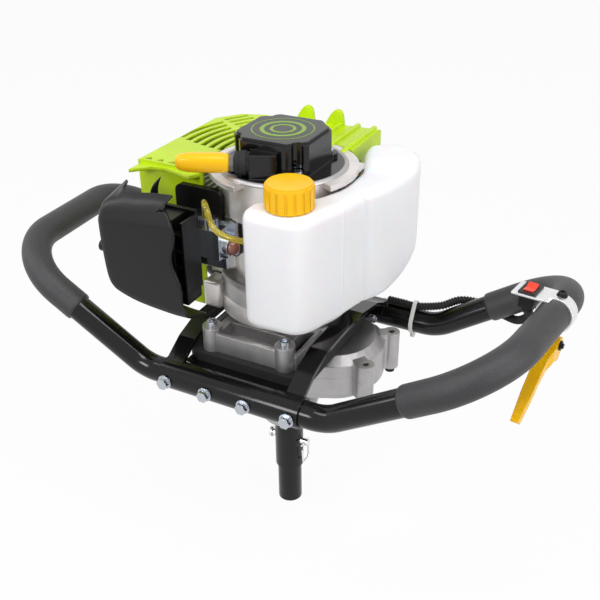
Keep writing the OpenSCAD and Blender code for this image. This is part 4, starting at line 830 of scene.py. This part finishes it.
class AUGER_OT_hood(bpy.types.Operator):
    """Moulded ribs on the hood's back and left walls, fins and ridges on top, a tongue below"""

    bl_idname = "auger.hood"
    bl_label = "Hood trim"

    def execute(self, context):
        for k, (first, second) in enumerate(HOOD_WALLS):
            for i, z in enumerate(RIB_HEIGHTS):
                add_trim("hood_rib_%d_%d" % (k, i), rib_points(first, second, z), "hood", "hood_green")
        for i, foot in enumerate(FIN_FEET):
            add_trim("hood_fin_%d" % i, fin_points(foot), "hood", "hood_green")
        for i, ridge in enumerate(RIDGES):
            add_block("hood_ridge_%d" % i, *ridge, "hood", "hood_green")
        add_block("hood_tongue", *HOOD_TONGUE, "hood", "hood_green")
        return {"FINISHED"}


# The choke lever turns about a line along y through this place
CHOKE_AT = (-80, -90.3, 168)
# Edges of its horn in x and z, and the half thickness of the horn at its foot and tip
HORN_LEFT = [[-85, 169], [-84.4, 177], [-80, 185], [-72.5, 192.6]]
HORN_RIGHT = [[-75, 169], [-76, 177], [-75, 184.5], [-71.8, 192.2]]
HORN_FOOT = 2.0
HORN_TIP = 1.0
# Radius and depth along y of the hub's section
HUB_SECTION = [[0.05, 2.0], [5.4, 2.0], [6, 1.4], [6, -1.4], [5.4, -2.0], [0.05, -2.0]]


def horn_points():
    """The choke lever's horn: an oval section between a bulging left edge and a hollow right one."""
    left = resample(spline(HORN_LEFT, 12), 40)
    right = resample(spline(HORN_RIGHT, 12), 40)
    a = around(24)
    xz = ((left + right) / 2)[:, None] + ((right - left) / 2)[:, None] * np.cos(a)[None, :, None]
    y = CHOKE_AT[1] + np.linspace(HORN_FOOT, HORN_TIP, len(left))[:, None] * np.sin(a)
    return to_frame(np.stack([xz[..., 0], y, xz[..., 1]], axis=-1))


def hub_points():
    """The choke lever's hub: a section turned about a line along y."""
    x, y, z = CHOKE_AT
    return to_frame(revolve_points(HUB_SECTION, (x, z, y), 48)[..., [0, 2, 1]])


class AUGER_OT_choke(bpy.types.Operator):
    """Choke lever: a curved horn on a round hub"""

    bl_idname = "auger.choke"
    bl_label = "Choke lever"

    def execute(self, context):
        horn = add_grid("choke_horn", horn_points())
        dress(horn, "choke_lever", finish_of("plastic"), "black_plastic", "choke_lever")
        hub = add_grid("choke_hub", hub_points())
        dress(hub, "choke_lever", finish_of("plastic"), "black_plastic")
        return {"FINISHED"}


# Where along y the switch sits on the right loop, and the strap screw's place and section from there
CONTROL_Y = 14
SCREW_AT = (1.5, 2.8, 0.0)
SCREW_SECTION = [(0.05, 15.6), (4.8, 15.6), (4.8, 16.9), (3.8, 17.1), (3.8, 19.0), (3.0, 20.0), (1.9, 20.2),
                 (1.8, 18.6), (0.05, 18.6)]


def at_control(points):
    """Points counted from the switch's place on the right loop, with Y along the tube, set in their place."""
    front_corner, rear_corner = HAND_PATH[2:4]
    run = unit(rear_corner - front_corner)
    yaw = -math.atan2(run[0], run[1])
    side = np.array([math.cos(yaw), math.sin(yaw), 0.0])
    up = np.cross(side, run)
    place = front_corner + run * (CONTROL_Y - front_corner[1]) / run[1]
    return to_frame(place + points[..., :1] * side + points[..., 1:2] * run + points[..., 2:] * up)


class AUGER_OT_controls(bpy.types.Operator):
    """Black screw and washer on the switch's strap"""

    bl_idname = "auger.controls"
    bl_label = "Strap screw"

    def execute(self, context):
        head = at_control(revolve_points(SCREW_SECTION, SCREW_AT, 40))
        add_trim("strap_screw", head, "oxide", "black_screw", smooth=False)
        return {"FINISHED"}


# Where the rope leaves the starter, and the pull's turn about Z from the x axis in degrees
PULL_FROM = (-9.5, -43, 199.8)
PULL_TURN = 24
# Sections of the starter grip along the pull: x, half height and half width
PULL_SECTIONS = [[-18, 5, 5], [-18.6, 6.6, 6.6], [-20, 7.6, 7.6], [-23, 8.4, 8.4], [-30, 8.8, 8.6],
                 [-40, 8.8, 8.4], [-50, 8.6, 7.8], [-58, 8, 6.8], [-63, 6.8, 5.4], [-65.6, 4.6, 3.6],
                 [-66.4, 1.6, 1.2]]
# Power of the sections' cosine and sine: 1 gives an ellipse, less a squarer oval
PULL_SQUARE = 0.8
# Radius and x of the neck's section
PULL_NECK = np.array([[2, -13.5], [6.6, -13.5], [7.6, -14.4], [7.6, -17.6], [6.6, -18.4], [2, -18.4]])
# Ends of the rope at rest along the pull, and a stretch along it whose ends are worked out but not used
ROPE_ENDS = (2.0, -30.0)
ROPE_DRAW = (-4, -22)
# The wound rope: radius of the coil, turns, foot, rise and the rope's radius as it lies there
COIL_RADIUS = 26
COIL_TURNS = 5
COIL_FOOT = 197.6
COIL_RISE = 9.6
COIL_ROPE = 1.7
# Rings printed on the starter's top, with their inner and outer radius
STARTER_TOP = 219.0
PRINT_DEPTH = 0.15
PRINT_RINGS = (("print_ring", 27.6, 28.8), ("print_disc", 9.0, 12.0), ("print_band", 17.0, 21.0))


def along_pull(points):
    """Points counted from where the rope leaves the starter, with X along the pull, set in their place."""
    c, k = math.cos(math.radians(PULL_TURN)), math.sin(math.radians(PULL_TURN))
    x, y, z = np.moveaxis(np.asarray(points, dtype=float), -1, 0)
    return to_frame(np.stack([c * x - k * y, k * x + c * y, z], axis=-1) + PULL_FROM)


def pull_points():
    """The starter grip: an oval section that is full in the middle and tapers to both ends along X."""
    fine = spline(PULL_SECTIONS, 6)
    a = around(48)
    cy = np.sign(np.cos(a)) * np.abs(np.cos(a)) ** PULL_SQUARE
    cz = np.sign(np.sin(a)) * np.abs(np.sin(a)) ** PULL_SQUARE
    y, z = fine[:, 2:3] * cy[None], fine[:, 1:2] * cz[None]
    return along_pull(np.stack([np.broadcast_to(fine[:, :1], y.shape), y, z], axis=-1))[:, ::-1]


def neck_points():
    """The starter grip's neck: a section turned about the pull, with six flats round it."""
    a = around(48)
    flat = math.cos(math.pi / 6) / np.cos((a % (math.pi / 3)) - math.pi / 6)
    r = PULL_NECK[:, :1] * flat
    x = np.broadcast_to(PULL_NECK[:, 1:], r.shape)
    return along_pull(np.stack([x, r * np.cos(a), r * np.sin(a)], axis=-1))[:, ::-1]


def rope_points():
    """The free rope: a round section along a straight line into the grip."""
    x = np.linspace(*ROPE_ENDS, 30)
    line = np.stack([x, np.zeros_like(x), np.zeros_like(x)], axis=1)
    return along_pull(sweep_points(line, sizes().rope_radius / MM, 16))


def coil_points():
    """The wound rope: a round section along a helix about the engine's axis."""
    t = np.linspace(0, 2 * np.pi * COIL_TURNS, 400)
    z = COIL_FOOT + COIL_RISE * t / t[-1]
    helix = np.stack([COIL_RADIUS * np.cos(t), COIL_RADIUS * np.sin(t), z], axis=1)
    return to_frame(sweep_points(helix, COIL_ROPE, 10))


class AUGER_OT_starter(bpy.types.Operator):
    """Starter grip, its neck and rope, and the print on the starter cover"""

    bl_idname = "auger.starter"
    bl_label = "Starter"

    def execute(self, context):
        pull = add_grid("pull_grip", pull_points())
        dress(pull, "starter_grip", finish_of("amber"), "amber", "starter_grip")
        neck = add_grid("pull_neck", neck_points(), smooth=False)
        dress(neck, "starter_grip", finish_of("grey"), "black_plastic")
        rope = add_grid("pull_rope", rope_points())
        rope.data.materials.append(finish_of("rope"))
        start, end = [tuple(along_pull([x, 0, 0])) for x in ROPE_DRAW]
        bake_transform(rope)
        wound = add_grid("wound_rope", coil_points())
        dress(wound, "reel", finish_of("rope"), "rope", "starter_rope")
        low, high = STARTER_TOP, STARTER_TOP + PRINT_DEPTH
        for name, r0, r1 in PRINT_RINGS:
            section = [(r0, low), (r1, low), (r1, high), (r0, high), (r0, low)]
            ring = about_engine(section, 96)
            add_trim(name, ring, "green_print", "hood_green", ends=False, smooth=False)
        return {"FINISHED"}


CONDUIT_RADIUS = 4.3
CONDUIT_GAP = 0.4
# Depth of the grooves between the conduit's ribs, and rings of points to a rib
GROOVE_DEPTH = 0.9
RIB_STEPS = 8
# The conduit's way: along the rear bar in x and y, round the rear leg, and free to the switch
CONDUIT_BAR = ((75.5, 86), (92, 86), (108, 86))
# Places on the leg: length along it, turn round it in degrees, and space under the conduit
CONDUIT_LEG = ((14, 10, 1), (32, 50, 1), (50, 100, 1.5), (66, 150, 3), (82, 195, 4), (98, 235, 5))
CONDUIT_END = [[222, 66, 56], [229, 46, 71], [232, 28, 80.5], [232, 17, 84]]
HOSE_STOPS = [[-48, -62, 147], [-48, -62, 157], [-44, -68, 166], [-36, -76, 163], [-28, -82, 153],
              [-18, -84, 147], [-6, -84, 145], [6, -84, 145]]


def conduit_path():
    """The conduit's route: along the rear bar, then round the back of the rear leg to the switch."""
    rear_corner, leg_foot = HAND_PATH[3:5]
    run = unit(rear_corner - leg_foot)
    side = unit(np.cross(run, [0, 0, 1]))
    top = np.cross(side, run)
    off = TUBE_RADIUS + CONDUIT_RADIUS + CONDUIT_GAP
    bar = [[x, y, off] for x, y in CONDUIT_BAR]
    leg = []
    for length, turn, space in CONDUIT_LEG:
        g = math.radians(turn)
        leg.append(leg_foot + length * run + (off + space) * (top * math.cos(g) - side * math.sin(g)))
    return spline(bar + leg + CONDUIT_END, 24)


def conduit_points():
    """The conduit: a round section along its route, and the radius dips by a clipped cosine between ribs."""
    route = conduit_path()
    ribs = int(run_along(route)[-1] / (sizes().rib_pitch / MM))
    path = resample(route, ribs * RIB_STEPS + 1)
    phase = np.arange(len(path)) / RIB_STEPS
    radius = CONDUIT_RADIUS - GROOVE_DEPTH * np.clip(0.5 + 0.9 * np.cos(2 * np.pi * phase), 0, 1)
    return to_frame(sweep_points(path, radius, 20))


class AUGER_OT_lines(bpy.types.Operator):
    """Ribbed wire conduit and clear fuel hose"""

    bl_idname = "auger.lines"
    bl_label = "Conduit and hose"

    def execute(self, context):
        conduit = add_grid("ribbed_conduit", conduit_points())
        dress(conduit, "machine", finish_of("rubber"), "pad_rubber", "conduit")
        path = resample(spline(HOSE_STOPS, 24), 160)
        hose = add_grid("clear_hose", to_frame(sweep_points(path, sizes().hose_radius / MM, 20)))
        dress(hose, "machine", finish_of("hose"), "hose_yellow", "fuel_hose")
        return {"FINISHED"}


# Stage

WHITE = (1, 1, 1, 1)
WORLD_STRENGTH = 0.3
FLOOR_HALF = 40.0
FLOOR_Z = -0.0005
# The share of plain white that the camera sees on the floor; the rest is its shaded colour
FLOOR_WHITE = 0.95
LAMP_AIM = (0.0, 0.0, 0.3)
# Name, place, width and height, and power of each lamp
LAMPS = (
    ("key", (-0.5, -1.6, 1.1), (0.5, 0.5), 10.0),
    ("left", (-1.4, -0.6, 1.3), (0.3, 1.2), 7.0),
    ("fill", (1.7, -0.3, 0.9), (0.25, 1.4), 13.0),
    ("top", (0.35, -0.35, 1.9), (1.3, 0.5), 16.0),
)
# The camera's turn about Z, rise and roll in degrees, its aim in millimetres and its distance in metres
CAMERA_TURN = 27.65
CAMERA_RISE = 30.19
CAMERA_ROLL = -0.64
CAMERA_AIM = (15.19, 0.0, 45.64)
CAMERA_DISTANCE = 0.83525
# Focal length and width of the picture in pixels, and the sensor's width in millimetres
FOCAL_PIXELS = 843.8
PICTURE_PIXELS = 600.0
SENSOR_WIDTH = 36.0


def pale_floor():
    """A pale floor that looks white to the camera and in reflections but keeps the soft shadow."""
    b = material_book("pale_floor")
    grey = b.mix(b.noise(40.0), (0.76, 0.76, 0.76, 1), (0.8, 0.8, 0.8, 1))
    diffuse = b.node("ShaderNodeBsdfDiffuse", None, {"Color": grey})
    glow = b.node("ShaderNodeEmission", None, {"Color": WHITE})
    return b.close(b.node("ShaderNodeMixShader", None, {0: b.seen() * FLOOR_WHITE, 1: diffuse, 2: glow}))


def studio_world():
    """A soft grey light all round, white to the camera and in reflections."""
    b = Book(bpy.data.worlds.new("studio"), "ShaderNodeOutputWorld")
    dim = b.node("ShaderNodeBackground", None, {"Color": WHITE, "Strength": WORLD_STRENGTH})
    white = b.node("ShaderNodeBackground", None, {"Color": WHITE})
    return b.close(b.node("ShaderNodeMixShader", None, {0: b.seen(), 1: dim, 2: white}))


def place_object(name, data, place, right, up, back):
    """Adds a lamp or camera at a place, with its three axes."""
    obj = bpy.data.objects.new(name, data)
    bpy.context.scene.collection.objects.link(obj)
    m = obj.matrix_world.copy()
    for k in range(3):
        m[k][0], m[k][1], m[k][2], m[k][3] = right[k], up[k], back[k], place[k]
    obj.matrix_world = m
    return obj


def soft_box(name, place, size, power):
    """An area lamp at a place that points at the engine."""
    lamp = bpy.data.lights.new(name, "AREA")
    lamp.shape = "RECTANGLE"
    lamp.size, lamp.size_y = size
    lamp.energy = power
    back = unit(np.array(place) - LAMP_AIM)
    right = unit(np.cross([0, 0, 1.0], back))
    place_object(name, lamp, place, right, np.cross(back, right), back)


def photo_camera():
    """The camera: it looks back along a turned and raised line at its aim, and rolls about that line."""
    a, e, roll = math.radians(CAMERA_TURN), math.radians(CAMERA_RISE), math.radians(CAMERA_ROLL)
    back = np.array([math.sin(a) * math.cos(e), -math.cos(a) * math.cos(e), math.sin(e)])
    right = np.array([math.cos(a), math.sin(a), 0.0])
    up = np.cross(back, right)
    camera = bpy.data.cameras.new("photo_camera")
    camera.lens = FOCAL_PIXELS * SENSOR_WIDTH / PICTURE_PIXELS
    camera.sensor_width = SENSOR_WIDTH
    camera.clip_start = 0.01
    return place_object("photo_camera", camera, to_frame(CAMERA_AIM) + back * CAMERA_DISTANCE,
                        right * math.cos(roll) + up * math.sin(roll),
                        up * math.cos(roll) - right * math.sin(roll), back)


class AUGER_OT_stage(bpy.types.Operator):
    """Floor, soft studio light and the camera"""

    bl_idname = "auger.stage"
    bl_label = "Stage"

    def execute(self, context):
        g = np.linspace(-FLOOR_HALF, FLOOR_HALF, 5)
        x, y = np.meshgrid(g, g)
        floor = add_grid("floor", np.stack([x, y, np.full_like(x, FLOOR_Z)], axis=-1), ring=False)
        floor.data.materials.append(pale_floor())
        for lamp in LAMPS:
            soft_box(*lamp)
        scene = bpy.context.scene
        scene.world = studio_world()
        scene.camera = photo_camera()
        scene.view_settings.view_transform = "Standard"
        return {"FINISHED"}


class AUGER_PT_panel(bpy.types.Panel):
    """Lists the pieces in the sidebar"""

    bl_idname = "AUGER_PT_panel"
    bl_label = "Auger"
    bl_space_type = "VIEW_3D"
    bl_region_type = "UI"
    bl_category = "Auger"

    def draw(self, context):
        for operator in OPERATORS:
            self.layout.operator(operator.bl_idname)


OPERATORS = (AUGER_OT_stage, AUGER_OT_finishes, AUGER_OT_grips, AUGER_OT_tank, AUGER_OT_filter,
             AUGER_OT_castings, AUGER_OT_hood, AUGER_OT_choke, AUGER_OT_controls, AUGER_OT_starter,
             AUGER_OT_lines)
CLASSES = (AugerSizes, AugerColours) + OPERATORS + (AUGER_PT_panel,)


def register():
    """Adds the classes and the scene's settings."""
    for made in CLASSES:
        bpy.utils.register_class(made)
    bpy.types.Scene.auger_sizes = PointerProperty(type=AugerSizes)
    bpy.types.Scene.auger_colours = PointerProperty(type=AugerColours)


def unregister():
    """Takes the settings and the classes away again."""
    del bpy.types.Scene.auger_colours
    del bpy.types.Scene.auger_sizes
    for made in reversed(CLASSES):
        bpy.utils.unregister_class(made)


def main():
    """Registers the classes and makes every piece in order."""
    register()
    bpy.ops.auger.stage()
    bpy.ops.auger.finishes()
    bpy.ops.auger.grips()
    bpy.ops.auger.tank()
    bpy.ops.auger.filter()
    bpy.ops.auger.castings()
    bpy.ops.auger.hood()
    bpy.ops.auger.choke()
    bpy.ops.auger.controls()
    bpy.ops.auger.starter()
    bpy.ops.auger.lines()


if __name__ == "__main__":
    main()
